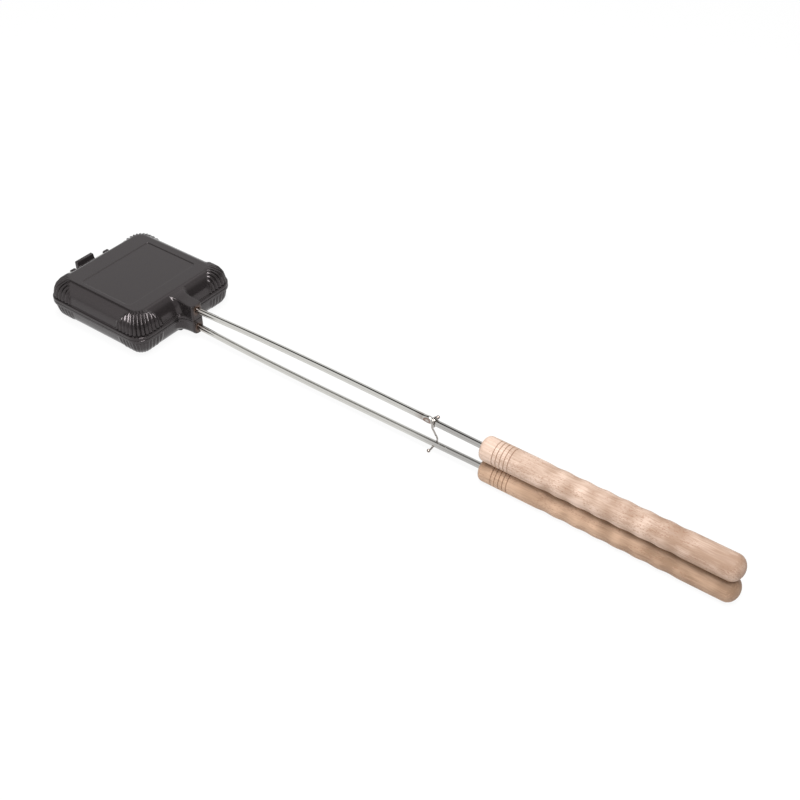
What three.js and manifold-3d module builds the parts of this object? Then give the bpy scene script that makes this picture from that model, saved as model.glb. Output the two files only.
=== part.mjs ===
import * as THREE from "three";
import { mergeVertices } from "three/addons/utils/BufferGeometryUtils.js";
import Module from "manifold-3d";

// A campfire sandwich iron. Two cast iron shells close on a flat parting plane and turn on a
// steel pin at the far end. Each shell holds a steel rod with a turned beech handle, and a wire
// latch on the upper rod hooks under the lower one.
// Millimetres, +Z up, +X towards the handles, +Y across. The origin is the centre of the lower
// shell's flat underside, on which the iron lies together with its lower handle.

const wasm = await Module();
wasm.setup();

// Clearances
const partGap = 0.3; // between pieces that touch
const turnGap = 0.5; // round a rod that a wire turns on
const cutOverrun = 2; // how far a cut runs past the face that it opens

// Head, both shells
const headWidth = 130; // square rim, edge to edge
const headCornerRadius = 15.4; // rim corners in plan
const plateauCornerRadius = 5.6; // corners of the flat top in plan
const lipHeight = 3.05; // upright rim of each shell
const lipWidth = 2.2; // ledge from the rim's edge to the foot of the wall
const lipRounding = 0.6; // rounded outer edge of the ledge
const upperShellHeight = 21.65; // parting face to flat top
const upperWallInset = 13; // foot of the wall to the flat top, in plan
const lowerWallInset = 14.8;

// Grip ribs that fan round each corner of a shell
const ribsPerCorner = 13;
const ribPitch = 4.6; // along the rim
const ribHeight = 0.95;
const ribSteps = 3; // facets of one rib

// Pan that is hollowed into each shell
const panRimWidth = 8; // flat sealing face round the pan
const panCornerRadius = 10;
const panFloorCornerRadius = 5;
const panWallInset = 11; // slope of the pan wall, in plan
const floorThickness = 4;

// Neck that takes the rod
const neckWidth = 13;
const neckPlace = -1.8; // its middle along Y
const neckReach = 14.5; // past the rim
const upperNeckHeight = 16.4; // parting face to its top, at the end
const lowerNeckHeight = 15.6; // parting face to its round underside
const neckEdge = 1; // chamfer on the end's upright edges
const lipFlareLength = 12; // rim into the neck, along X
const lipFlareWidth = 5.5; // along Y
const upperFlareLength = 6.5; // upper wall into the neck
const upperFlareWidth = 6;
const upperFlareInset = 5.5; // rim to the start of the flare
const lowerFlareLength = 13;
const lowerFlareWidth = 9;
const lowerFlareInset = 3.4;
const neckRoot = 9.5; // how far the neck runs into the shell
const neckSpineRoot = 16; // and the rise on top of the upper neck
const rodSeatDepth = 18;
const rodSeatHeight = 9.75; // rod axis above the parting face
const rodSeatPlace = -1; // rod axis along Y

// Hinge at the far end
const hingeReach = 8; // rim to pin axis
const hingeHeight = 3.4; // pin axis above the parting plane
const pinDiameter = 3;
const pinHeadDiameter = 4.6;
const pinHeadHeight = 1.2;
const earRadius = 3.4; // eye round the pin
const earWidth = 5.2;
const earSpacing = 44; // middle of one ear to middle of the other
const earDrop = 11; // where an ear runs into the lower wall
const knuckleWidth = 21.5;
const knucklePlace = -5.2; // its middle along Y
const knuckleTop = 11.2; // above the upper parting face
const knuckleTopDepth = 3.1; // narrow top, along X
const knuckleEdge = 0.7; // chamfer on the outer edge
const knuckleOverhang = 3.8; // pin axis to the knuckle's outer face
const knuckleSlopeFoot = 6.6; // where its sloping inner face ends, above the parting face
const knuckleSlopeReach = 5.2; // and how far in from the outer face
const hingeRoot = 5.2; // how far ears and knuckle run into their shell

// Line round the bare field on the flat top
const fieldLength = 66.3; // along X
const fieldWidth = 88.2; // along Y
const fieldShiftX = 2.2; // towards the handles
const fieldShiftY = -1.65;
const fieldCornerRadius = 2.5;
const fieldNearCornerRadius = 6;
const lineWidth = 0.9;
const lineDepth = 0.35;

// Rods
const rodDiameter = 6;
const rodTangLength = 60; // held inside the handle
const rodSides = 12;
const rodSteps = 22;

// Handles
const handleDiameter = 22.7;
const handleLength = 236.2;
const handleFront = 409.8; // middle of the head to the handles' front faces
const handleSides = 18;
const shoulderRadius = 4.6; // rounded front edge
const grooveCount = 5;
const grooveFirst = 14.4; // front face to the first ring groove
const groovePitch = 3.9;
const grooveWidth = 1.1;
const grooveDepth = 0.55;
const waveCount = 7;
const waveFirst = 67; // front face to the first finger hollow
const wavePitch = 18.8;
const waveDepth = 0.6;
const domeLength = 9.5; // rounded butt

// Stop that is pressed into the upper rod beside the latch
const stopCentre = 352.4; // along X from the middle of the head
const stopLength = 8.4;
const stopSpread = 7.2; // height of the squeezed spot
const stopDimpleLength = 6.4;
const stopDimpleHeight = 4.2;
const stopDimpleDepth = 0.45; // on each side of the rod

// Wire latch
const latchPlace = 358.6; // along X from the middle of the head
const wireDiameter = 1.7;
const beadDiameter = 3.3;
const wireSides = 6;
const wireSteps = 72;
const coilStart = -36; // degrees round the rod, from its top towards the near side
const coilEnd = 420;
const coilPitch = 3.1; // along the rod, for one turn of wire
const hookClearance = 0.8; // under the lower rod
const legKink = 1.2; // along the rod

// Worked out from the sizes above
const handleRadius = handleDiameter / 2;
const rodRadius = rodDiameter / 2;
const wireRadius = wireDiameter / 2;
const beadRadius = beadDiameter / 2;
const pinRadius = pinDiameter / 2;
const headHalf = headWidth / 2;
const neckHalf = neckWidth / 2;
const lowerShellHeight = handleDiameter; // so that the iron lies level
const partingHeight = lowerShellHeight + partGap / 2;
const handleAxis = handleRadius + partGap / 2; // above and below the parting plane
const rodSeatAxis = rodSeatHeight + partGap / 2;
const neckEnd = headHalf + neckReach;
const hingeX = -(headHalf + hingeReach);

// Wall of a shell, from the foot at the rim to the flat top: share of the wall's inset, share of
// its height above the rim, share of the full rib height, and share of the way from the rim's
// corner radius to the flat top's
const upperWallShares = [
  [0, 0, 1, 0.2],
  [0.085, 0.3, 1.1, 0.4],
  [0.17, 0.47, 1.3, 0.52],
  [0.31, 0.634, 1.5, 0.68],
  [0.68, 0.887, 1.3, 0.88],
  [0.84, 0.965, 1.1, 0.95],
  [1, 1, 0.7, 1],
];
const lowerWallShares = [
  [0, 0, 0.8, 0.16],
  [0.075, 0.34, 0.9, 0.26],
  [0.15, 0.54, 0.95, 0.36],
  [0.27, 0.71, 0.95, 0.46],
  [0.43, 0.844, 0.8, 0.6],
  [0.62, 0.938, 0.45, 0.74],
  [1, 1, 0, 1],
];

// Section of a neck: share of its height, and share of its width that is left there
const upperNeckShares = [
  [0, 1],
  [0.95, 1],
  [1, 0.9],
];
const lowerNeckShares = [
  [0, 1],
  [0.72, 1],
  [0.87, 0.9],
  [0.965, 0.7],
  [1, 0.45],
];

// Rise of the upper neck's top into the flat top: share of the way from the neck's end to the
// flat top's edge, and share of the height between them
const neckRiseShares = [
  [0, 0],
  [0.3, 0.1],
  [0.5, 0.21],
  [0.66, 0.37],
  [0.8, 0.6],
  [0.92, 0.84],
  [0.985, 0.97],
];

// Wall of the pan: share of its inset and share of its depth
const panWallShares = [
  [0, 0],
  [0.5, 0.76],
  [1, 1],
];

// How the rods run between neck and handle: share of the free length, share of the rise from the
// neck's rod axis to the handle's, and share of the rod seat's place along Y
const rodSpreadShares = [
  [0.085, 0.56, 1],
  [0.2, 1.34, 0.85],
  [0.42, 1.9, 0.5],
  [0.64, 1.75, 0.12],
  [0.85, 1.34, 0],
];

// Leg of the latch from the coil down to the lower rod: share of the kink, share of the hook's
// radius sideways, and drop below the upper rod's axis as a share of that axis's height above the
// parting plane
const latchLegShares = [
  [0, -0.67, 0.35],
  [-0.25, -0.31, 0.62],
  [1, 0, 1.08],
  [1, 0.62, 1.6],
  [0, 1, 2],
];

// Hook of the latch: shares of its quarter turn under the lower rod
const latchHookShares = [0.36, 0.7, 1];

const castIron = new THREE.MeshStandardMaterial({ color: 0x2b2a2b, roughness: 0.5, metalness: 0.7 });
const steel = new THREE.MeshStandardMaterial({ color: 0xb9b7b2, roughness: 0.25, metalness: 1 });
const beech = new THREE.MeshStandardMaterial({ color: 0xe0bd9b, roughness: 0.6, metalness: 0 });

// A closed mesh as a solid that can be joined and cut
function solidOf(geometry) {
  geometry.deleteAttribute("normal");
  geometry.deleteAttribute("uv");
  const merged = mergeVertices(geometry);
  const vertProperties = new Float32Array(merged.getAttribute("position").array);
  const triVerts = new Uint32Array(merged.getIndex().array);
  return new wasm.Manifold(new wasm.Mesh({ numProp: 3, vertProperties, triVerts }));
}

function meshOf(name, solid, material) {
  const { vertProperties, triVerts } = solid.getMesh();
  const geometry = new THREE.BufferGeometry();
  geometry.setAttribute("position", new THREE.BufferAttribute(vertProperties, 3));
  geometry.setIndex(new THREE.BufferAttribute(triVerts, 1));
  geometry.computeVertexNormals();
  const mesh = new THREE.Mesh(geometry, material);
  mesh.name = name;
  return mesh;
}

// A solid through rings of as many points each, closed at both ends by a fan about the given
// centre. The rings rise, and run anticlockwise seen from above.
function loft(rings, centreX = 0, centreY = 0) {
  const positions = [];
  const indices = [];
  const count = rings[0].length;
  for (const ring of rings) {
    for (const point of ring) positions.push(point.x, point.y, point.z);
  }
  for (let level = 0; level < rings.length - 1; level++) {
    for (let i = 0; i < count; i++) {
      const next = (i + 1) % count;
      const a = level * count + i;
      const b = level * count + next;
      indices.push(a, b, b + count, a, b + count, a + count);
    }
  }
  const bottomCentre = positions.length / 3;
  positions.push(centreX, centreY, rings[0][0].z);
  const topCentre = bottomCentre + 1;
  positions.push(centreX, centreY, rings[rings.length - 1][0].z);
  const topStart = (rings.length - 1) * count;
  for (let i = 0; i < count; i++) {
    const next = (i + 1) % count;
    indices.push(bottomCentre, next, i);
    indices.push(topCentre, topStart + i, topStart + next);
  }
  const geometry = new THREE.BufferGeometry();
  geometry.setAttribute("position", new THREE.Float32BufferAttribute(positions, 3));
  geometry.setIndex(indices);
  return solidOf(geometry);
}

// One level of a shell's outside: a square with round corners, with ribs that fan round them
function ribbedRing(half, radius, height, ribs) {
  const ring = [];
  const fanSteps = ribsPerCorner * ribSteps;
  const arcReach = headCornerRadius * Math.PI / 4;
  const arcCentre = half - radius;
  for (let corner = 0; corner < 4; corner++) {
    const turn = new THREE.Matrix4().makeRotationZ(corner * Math.PI / 2);
    for (let step = 0; step <= fanSteps; step++) {
      const along = (step - fanSteps / 2) / ribSteps * ribPitch;
      const past = Math.max(Math.abs(along) - arcReach, 0);
      const angle = Math.PI / 4 + THREE.MathUtils.clamp(along / headCornerRadius, -Math.PI / 4, Math.PI / 4);
      const reach = radius + ribs * Math.abs(Math.sin(Math.PI * step / ribSteps));
      const x = arcCentre + reach * Math.cos(angle) - (along > 0 ? past : 0);
      const y = arcCentre + reach * Math.sin(angle) - (along < 0 ? past : 0);
      ring.push(new THREE.Vector3(x, y, height).applyMatrix4(turn));
    }
  }
  return ring;
}

function plainRing(half, radius, height) {
  const cornerSteps = 5;
  const ring = [];
  for (let corner = 0; corner < 4; corner++) {
    const turn = new THREE.Matrix4().makeRotationZ(corner * Math.PI / 2);
    for (let step = 0; step <= cornerSteps; step++) {
      const angle = Math.PI / 2 * step / cornerSteps;
      const x = half - radius + radius * Math.cos(angle);
      const y = half - radius + radius * Math.sin(angle);
      ring.push(new THREE.Vector3(x, y, height).applyMatrix4(turn));
    }
  }
  return ring;
}

// Outline of a neck in plan, flaring into the head in a quarter of an ellipse on each side
function neckOutline(flareStart, flareLength, flareWidth, half, place) {
  const wide = half + flareWidth;
  const root = headHalf - neckRoot;
  const flareEnd = flareStart + flareLength;
  const quarter = Math.PI / 2;
  const outline = new THREE.Shape();
  outline.moveTo(root, place - wide);
  outline.lineTo(flareStart, place - wide);
  outline.absellipse(flareEnd, place - wide, flareLength, flareWidth, 2 * quarter, quarter, true, 0);
  outline.lineTo(neckEnd - neckEdge, place - half);
  outline.lineTo(neckEnd, place - half + neckEdge);
  outline.lineTo(neckEnd, place + half - neckEdge);
  outline.lineTo(neckEnd - neckEdge, place + half);
  outline.absellipse(flareEnd, place + wide, flareLength, flareWidth, -quarter, -2 * quarter, true, 0);
  outline.lineTo(root, place + wide);
  return outline;
}

// A neck with its flares, through the levels of its section
function neckSolid(flareStart, flareLength, flareWidth, height, sectionShares, place) {
  const arcSteps = 4;
  const rings = sectionShares.map(([heightShare, widthShare]) => {
    const outline = neckOutline(flareStart, flareLength, flareWidth, neckHalf * widthShare, place);
    const z = height * heightShare;
    return outline.getPoints(arcSteps).map((point) => new THREE.Vector3(point.x, point.y, z));
  });
  return loft(rings, flareStart, place);
}

// The rise on top of the upper neck
function neckSpineSolid() {
  const edgeX = headHalf - lipWidth - upperWallInset;
  const width = neckWidth * upperNeckShares[upperNeckShares.length - 1][1];
  const root = headHalf - neckSpineRoot;
  const outline = new THREE.Shape();
  outline.moveTo(root, rodSeatHeight);
  outline.lineTo(neckEnd, rodSeatHeight);
  for (const [lengthShare, heightShare] of neckRiseShares) {
    const x = THREE.MathUtils.lerp(neckEnd, edgeX, lengthShare);
    outline.lineTo(x, THREE.MathUtils.lerp(upperNeckHeight, upperShellHeight, heightShare));
  }
  outline.lineTo(root, upperNeckHeight);
  return uprightPlate(outline, width, neckPlace + width / 2);
}

function extruded(outline, depth) {
  return new THREE.ExtrudeGeometry(outline, { depth, bevelEnabled: false, curveSegments: 8 });
}

// An outline in X and Z, as thick as given, from y towards -Y
function uprightPlate(outline, thickness, y) {
  return solidOf(extruded(outline, thickness).rotateX(Math.PI / 2).translate(0, y, 0));
}

// A round bar along Y, for the pin's holes
function barAlongY(radius, length, x, y, z) {
  const sides = 20;
  return solidOf(new THREE.CylinderGeometry(radius, radius, length, sides).translate(x, y, z));
}

// The part of a shell that both have, with its parting face at z = 0 and its wall rising: rim,
// ribbed wall, neck, rod seat and pan. The lower shell is turned over afterwards, which swaps the
// sides along Y, so its places along Y come in with the other sign.
function shellSolid(height, wallInset, wallShares, wallNeck, ySign) {
  const level = (inset, z, ribs, tightening) => {
    const radius = THREE.MathUtils.lerp(headCornerRadius, plateauCornerRadius, tightening);
    return ribbedRing(headHalf - inset, radius, z, ribs);
  };
  const rings = [
    level(0, 0, 0, 0),
    level(0, lipHeight - lipRounding, 0, 0),
    level(lipRounding, lipHeight, 0, lipRounding / headCornerRadius),
  ];
  for (const [insetShare, heightShare, ribShare, tightening] of wallShares) {
    const inset = lipWidth + wallInset * insetShare;
    const z = lipHeight + (height - lipHeight) * heightShare;
    rings.push(level(inset, z, ribHeight * ribShare, tightening));
  }
  const lipOutline = neckOutline(headHalf, lipFlareLength, lipFlareWidth, neckHalf, neckPlace * ySign);
  const lipNeck = solidOf(extruded(lipOutline, lipHeight));
  const pan = panSolid(height - floorThickness);
  const seatSides = 20;
  const seatLength = rodSeatDepth + cutOverrun;
  const seat = new THREE.CylinderGeometry(rodRadius + partGap, rodRadius + partGap, seatLength, seatSides);
  const seatMiddle = neckEnd - rodSeatDepth + seatLength / 2;
  seat.rotateZ(Math.PI / 2).translate(seatMiddle, rodSeatPlace * ySign, rodSeatHeight);
  return loft(rings).add(lipNeck).add(wallNeck).subtract(pan).subtract(solidOf(seat));
}

function panSolid(depth) {
  const openHalf = headHalf - panRimWidth;
  const rings = [plainRing(openHalf, panCornerRadius, -cutOverrun)];
  for (const [insetShare, depthShare] of panWallShares) {
    const radius = THREE.MathUtils.lerp(panCornerRadius, panFloorCornerRadius, insetShare);
    rings.push(plainRing(openHalf - panWallInset * insetShare, radius, depth * depthShare));
  }
  return loft(rings);
}

// Thin line round the bare field on the upper shell's flat top
function fieldLine() {
  const outline = (margin) => {
    const halfX = fieldLength / 2 + margin;
    const halfY = fieldWidth / 2 + margin;
    const radius = fieldCornerRadius + margin;
    const near = fieldNearCornerRadius + margin;
    const shape = new THREE.Shape();
    shape.moveTo(halfX, near - halfY);
    shape.absarc(halfX - radius, halfY - radius, radius, 0, Math.PI / 2, false);
    shape.absarc(radius - halfX, halfY - radius, radius, Math.PI / 2, Math.PI, false);
    shape.absarc(radius - halfX, radius - halfY, radius, Math.PI, Math.PI * 3 / 2, false);
    shape.absarc(halfX - near, near - halfY, near, -Math.PI / 2, 0, false);
    return shape;
  };
  const frame = outline(lineWidth / 2);
  frame.holes.push(outline(-lineWidth / 2));
  const depth = lineDepth + cutOverrun;
  const geometry = new THREE.ExtrudeGeometry(frame, { depth, bevelEnabled: false, curveSegments: 3 });
  return solidOf(geometry.translate(fieldShiftX, fieldShiftY, upperShellHeight - lineDepth));
}

// Knuckle of the upper shell, a block with its outer lower corner round about the pin
function knuckleSolid() {
  const pinZ = hingeHeight - partGap / 2;
  const outer = hingeX - knuckleOverhang;
  const root = hingeRoot - headHalf;
  const outline = new THREE.Shape();
  outline.moveTo(root, partGap);
  outline.lineTo(root, knuckleSlopeFoot);
  outline.lineTo(outer + knuckleSlopeReach, knuckleSlopeFoot);
  outline.lineTo(outer + knuckleEdge + knuckleTopDepth, knuckleTop);
  outline.lineTo(outer + knuckleEdge, knuckleTop);
  outline.lineTo(outer, knuckleTop - knuckleEdge);
  outline.lineTo(outer, pinZ);
  outline.absellipse(hingeX, pinZ, knuckleOverhang, earRadius, Math.PI, Math.PI * 3 / 2, false, 0);
  outline.lineTo(-(headHalf + partGap), partGap);
  const block = uprightPlate(outline, knuckleWidth, knucklePlace + knuckleWidth / 2);
  return block.subtract(barAlongY(pinRadius + partGap, earSpacing, hingeX, 0, pinZ));
}

// One of the lower shell's two ears, in the lower shell's own frame, where +Z is down
function earSolid(y) {
  const pinZ = -(hingeHeight + partGap / 2);
  const root = hingeRoot - headHalf;
  const outline = new THREE.Shape();
  outline.moveTo(root, lipRounding);
  outline.lineTo(-(headHalf + lipWidth), lipRounding);
  outline.lineTo(hingeX + earRadius, pinZ);
  outline.absarc(hingeX, pinZ, earRadius, 0, -Math.PI, true);
  outline.lineTo(hingeX - earRadius, lipRounding);
  outline.lineTo(hingeX + earRadius / 2, earDrop - lipHeight);
  outline.lineTo(root, earDrop);
  const plate = uprightPlate(outline, earWidth, y + earWidth / 2);
  return plate.subtract(barAlongY(pinRadius + partGap, earSpacing, hingeX, y, pinZ));
}

// Axis of a rod, above or below the parting plane
function rodPath(direction) {
  const start = neckEnd - rodSeatDepth + partGap;
  const end = handleFront + rodTangLength - partGap;
  const free = handleFront - neckEnd;
  const rise = handleAxis - rodSeatAxis;
  const points = [
    new THREE.Vector3(start, rodSeatPlace, rodSeatAxis),
    new THREE.Vector3(neckEnd, rodSeatPlace, rodSeatAxis),
  ];
  for (const [lengthShare, riseShare, placeShare] of rodSpreadShares) {
    const x = neckEnd + free * lengthShare;
    points.push(new THREE.Vector3(x, rodSeatPlace * placeShare, rodSeatAxis + rise * riseShare));
  }
  points.push(new THREE.Vector3(handleFront, 0, handleAxis), new THREE.Vector3(end, 0, handleAxis));
  for (const point of points) point.z *= direction;
  return new THREE.CatmullRomCurve3(points, false, "centripetal");
}

// A bar of round section along a curve
function barAlong(path, radius, sides, steps) {
  const section = new THREE.Shape();
  for (let i = 0; i < sides; i++) {
    const angle = 2 * Math.PI * i / sides;
    if (i === 0) section.moveTo(radius, 0);
    else section.lineTo(radius * Math.cos(angle), radius * Math.sin(angle));
  }
  return solidOf(new THREE.ExtrudeGeometry(section, { extrudePath: path, steps }));
}

function rodSolid(direction) {
  return barAlong(rodPath(direction), rodRadius, rodSides, rodSteps);
}

// Height of the upper rod's axis above the parting plane at a place along X
function rodAxisAt(x) {
  const path = rodPath(1);
  let low = 0;
  let high = 1;
  const halvings = 24;
  for (let i = 0; i < halvings; i++) {
    const middle = (low + high) / 2;
    if (path.getPoint(middle).x < x) low = middle;
    else high = middle;
  }
  return path.getPoint(low).z;
}

function ellipsoid(length, width, height, x, y, z) {
  const around = 12;
  const down = 8;
  const ball = new THREE.SphereGeometry(1, around, down);
  return solidOf(ball.scale(length / 2, width / 2, height / 2).translate(x, y, z));
}

// The upper rod is squeezed flat at one spot, which spreads it up and down
function stoppedRodSolid() {
  const z = rodAxisAt(stopCentre);
  const dimpleWidth = 2 * rodRadius;
  const dimpleOffset = rodRadius + dimpleWidth / 2 - stopDimpleDepth;
  const spread = ellipsoid(stopLength, rodDiameter - stopDimpleDepth, stopSpread, stopCentre, 0, z);
  let rod = rodSolid(1).add(spread);
  for (const side of [-1, 1]) {
    const y = side * dimpleOffset;
    rod = rod.subtract(ellipsoid(stopDimpleLength, dimpleWidth, stopDimpleHeight, stopCentre, y, z));
  }
  return rod;
}

// Turned handle about the X axis, front face at x = 0, with a blind hole for the rod's end
function handleSolid() {
  const profile = [new THREE.Vector2(0, rodTangLength)];
  const add = (x, radius) => profile.push(new THREE.Vector2(radius, x));
  const holeRadius = rodRadius + partGap;
  const quarter = Math.PI / 2;
  const arcSteps = 4;
  add(rodTangLength, holeRadius);
  add(0, holeRadius);
  for (let i = 0; i <= arcSteps; i++) {
    const angle = quarter * i / arcSteps;
    const x = shoulderRadius * (1 - Math.cos(angle));
    add(x, handleRadius - shoulderRadius * (1 - Math.sin(angle)));
  }
  for (let i = 0; i < grooveCount; i++) {
    const x = grooveFirst + i * groovePitch;
    add(x - grooveWidth / 2, handleRadius);
    add(x, handleRadius - grooveDepth);
    add(x + grooveWidth / 2, handleRadius);
  }
  const waveSteps = 4;
  for (let i = 0; i <= waveCount * waveSteps; i++) {
    const x = waveFirst + (i / waveSteps - 1 / 2) * wavePitch;
    const hollow = (1 - Math.cos(2 * Math.PI * i / waveSteps)) / 2;
    add(x, handleRadius - waveDepth * hollow);
  }
  const domeSteps = 6;
  for (let i = 0; i <= domeSteps; i++) {
    const angle = quarter * i / domeSteps;
    const radius = i === domeSteps ? 0 : handleRadius * Math.cos(angle);
    add(handleLength - domeLength + domeLength * Math.sin(angle), radius);
  }
  const geometry = new THREE.LatheGeometry(profile, handleSides);
  return solidOf(geometry.rotateZ(-quarter));
}

// Pin with a peened head at each end, along Y
function pinSolid() {
  const earFace = earSpacing / 2 + earWidth / 2 + partGap;
  const headRadius = pinHeadDiameter / 2;
  const pinSides = 16;
  const half = [
    [pinRadius, earFace],
    [headRadius, earFace],
    [headRadius, earFace + pinHeadHeight / 2],
    [pinRadius, earFace + pinHeadHeight],
    [0, earFace + pinHeadHeight],
  ];
  const profile = half.map(([radius, y]) => new THREE.Vector2(radius, y));
  for (const [radius, y] of half) profile.unshift(new THREE.Vector2(radius, -y));
  return solidOf(new THREE.LatheGeometry(profile, pinSides));
}

// The latch is one wire. From a bead over the upper rod it winds once round it, runs down as a
// bent leg behind the lower rod, passes under it and ends in a bead on the near side.
function latchSolid() {
  const axisZ = rodAxisAt(latchPlace);
  const coil = rodRadius + turnGap + wireRadius;
  const hook = rodRadius + hookClearance + wireRadius;
  const rodDrop = 2 * axisZ; // from the upper rod's axis to the lower rod's
  const beadLift = beadRadius - wireRadius;
  const points = [];
  const turnSteps = 12;
  for (let i = 0; i <= turnSteps; i++) {
    const share = i / turnSteps;
    const angle = THREE.MathUtils.degToRad(THREE.MathUtils.lerp(coilStart, coilEnd, share));
    const radius = i === 0 ? coil + beadLift : coil;
    const place = latchPlace + coilPitch * Math.min(1 / 2, 1 / 2 + 1 / turnSteps - share + share ** 8 / 2);
    points.push(new THREE.Vector3(place, -radius * Math.sin(angle), radius * Math.cos(angle)));
  }
  const hang = (kink, y, drop) => points.push(new THREE.Vector3(latchPlace + legKink * kink, y, -drop));
  for (const [kink, side, drop] of latchLegShares) hang(kink, hook * side, axisZ * drop);
  for (const turn of latchHookShares) {
    const angle = turn * Math.PI / 2;
    hang(-turn, hook * Math.cos(angle), rodDrop + hook * Math.sin(angle));
  }
  const endY = -(rodRadius + beadDiameter);
  const endDrop = (y) => Math.sqrt((rodDrop + hook + beadLift) ** 2 - y ** 2);
  hang(-1, endY / 2, endDrop(endY / 2));
  hang(-1, endY, endDrop(endY));
  const path = new THREE.CatmullRomCurve3(points, false, "centripetal");
  let wire = barAlong(path, wireRadius, wireSides, wireSteps);
  for (const end of [points[0], points[points.length - 1]]) {
    wire = wire.add(ellipsoid(beadDiameter, beadDiameter, beadDiameter, end.x, end.y, end.z));
  }
  return { wire, axisZ };
}

const lowerFrame = new THREE.Group();
lowerFrame.position.z = partingHeight;
const upperFrame = new THREE.Group();
upperFrame.position.z = partingHeight;

const lowerFlareStart = headHalf - lowerFlareInset;
const lowerNeck = neckSolid(
  lowerFlareStart,
  lowerFlareLength,
  lowerFlareWidth,
  lowerNeckHeight,
  lowerNeckShares,
  -neckPlace,
);
const lowerShell = shellSolid(lowerShellHeight, lowerWallInset, lowerWallShares, lowerNeck, -1)
  .add(earSolid(-earSpacing / 2))
  .add(earSolid(earSpacing / 2));
const lowerShellMesh = meshOf("lower_shell", lowerShell, castIron);
lowerShellMesh.rotation.x = Math.PI;
lowerShellMesh.position.z = -partGap / 2;

const upperFlareStart = headHalf - upperFlareInset;
const upperNeck = neckSolid(
  upperFlareStart,
  upperFlareLength,
  upperFlareWidth,
  upperNeckHeight,
  upperNeckShares,
  neckPlace,
).add(neckSpineSolid());
const upperShell = shellSolid(upperShellHeight, upperWallInset, upperWallShares, upperNeck, 1)
  .add(knuckleSolid())
  .subtract(panSolid(upperShellHeight - floorThickness))
  .subtract(fieldLine());
const upperShellMesh = meshOf("upper_shell", upperShell, castIron);
upperShellMesh.position.z = partGap / 2;

const pinMesh = meshOf("hinge_pin", pinSolid(), steel);
pinMesh.position.set(hingeX, 0, hingeHeight);

const lowerRodMesh = meshOf("lower_rod", rodSolid(-1), steel);
const upperRodMesh = meshOf("upper_rod", stoppedRodSolid(), steel);

const lowerHandleMesh = meshOf("lower_handle", handleSolid(), beech);
lowerHandleMesh.position.set(handleFront, 0, -handleAxis);
const upperHandleMesh = meshOf("upper_handle", handleSolid(), beech);
upperHandleMesh.position.set(handleFront, 0, handleAxis);

const latch = latchSolid();
const latchMesh = meshOf("latch_wire", latch.wire, steel);
latchMesh.position.z = latch.axisZ;

lowerFrame.add(lowerShellMesh, lowerRodMesh, lowerHandleMesh, pinMesh);
upperFrame.add(upperShellMesh, upperRodMesh, upperHandleMesh, latchMesh);

const group = new THREE.Group();
group.add(lowerFrame, upperFrame);

export default group;
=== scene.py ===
import math

import bmesh
import bpy
from mathutils import Matrix, Vector


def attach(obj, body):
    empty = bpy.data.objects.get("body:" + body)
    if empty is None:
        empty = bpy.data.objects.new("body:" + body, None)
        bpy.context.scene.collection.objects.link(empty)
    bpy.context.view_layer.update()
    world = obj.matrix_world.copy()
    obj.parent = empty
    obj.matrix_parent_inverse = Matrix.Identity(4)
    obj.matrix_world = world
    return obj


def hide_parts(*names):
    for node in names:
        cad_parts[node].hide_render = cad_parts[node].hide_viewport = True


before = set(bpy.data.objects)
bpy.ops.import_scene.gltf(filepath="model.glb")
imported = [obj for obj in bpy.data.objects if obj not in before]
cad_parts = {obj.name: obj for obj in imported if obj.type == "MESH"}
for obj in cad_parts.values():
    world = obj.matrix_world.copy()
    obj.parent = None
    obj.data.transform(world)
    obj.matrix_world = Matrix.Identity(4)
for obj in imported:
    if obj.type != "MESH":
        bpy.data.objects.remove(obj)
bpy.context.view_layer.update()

# Camera. The photograph's viewpoint, solved from the straight edges and the outline of the iron:
# off the handles' end on the near side, 40 degrees up and 1.13 m from the middle of the iron.
MM = 0.001
PHOTO_WIDTH = 800
FOCAL_PIXELS = 1273.0
SENSOR_WIDTH = 36
NEAREST_SEEN, FURTHEST_SEEN = 0.01, 50
VIEW_AZIMUTH, VIEW_ELEVATION, VIEW_ROLL = 37.28, 39.64, -0.234
VIEW_TARGET = Vector((308.432, 17.471, 22.85)) * MM
VIEW_DISTANCE = 1128.673 * MM

azimuth, elevation, roll = (math.radians(angle) for angle in (VIEW_AZIMUTH, VIEW_ELEVATION, VIEW_ROLL))
back = Vector((
    math.sin(azimuth) * math.cos(elevation),
    -math.cos(azimuth) * math.cos(elevation),
    math.sin(elevation),
))
level_right = Vector((math.cos(azimuth), math.sin(azimuth), 0))
level_up = back.cross(level_right)
right = level_right * math.cos(roll) + level_up * math.sin(roll)
up = level_up * math.cos(roll) - level_right * math.sin(roll)
view_turn = Matrix((right, up, back)).transposed().to_4x4()

scene = bpy.context.scene
camera_data = bpy.data.cameras.new("camera")
camera_data.sensor_width = SENSOR_WIDTH
camera_data.lens = FOCAL_PIXELS * SENSOR_WIDTH / PHOTO_WIDTH
camera_data.clip_start, camera_data.clip_end = NEAREST_SEEN, FURTHEST_SEEN
camera = bpy.data.objects.new("camera", camera_data)
camera.matrix_world = Matrix.Translation(VIEW_TARGET + back * VIEW_DISTANCE) @ view_turn
scene.collection.objects.link(camera)
scene.camera = camera

# Studio. A white table that fills the view, an even sky with three soft lights and two dark
# patches, and one long softbox overhead, which puts the narrow lights on the ribs.
FLOOR_HALF = 30
FLOOR_WHITE = (0.86, 0.86, 0.86, 1)
FLOOR_OWN_LIGHT = 0.92
SKY_LEVEL, SKY_DARKEST = 0.46, 0.02
LAMP_AIM = Vector((0.1, 0, 0.03))
LAMP_DIRECTION = Vector((0.29, -0.215, 0.93)).normalized()
LAMP_DISTANCE, LAMP_WIDTH, LAMP_LENGTH, LAMP_POWER = 1.7, 0.42, 1.5, 42

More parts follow.
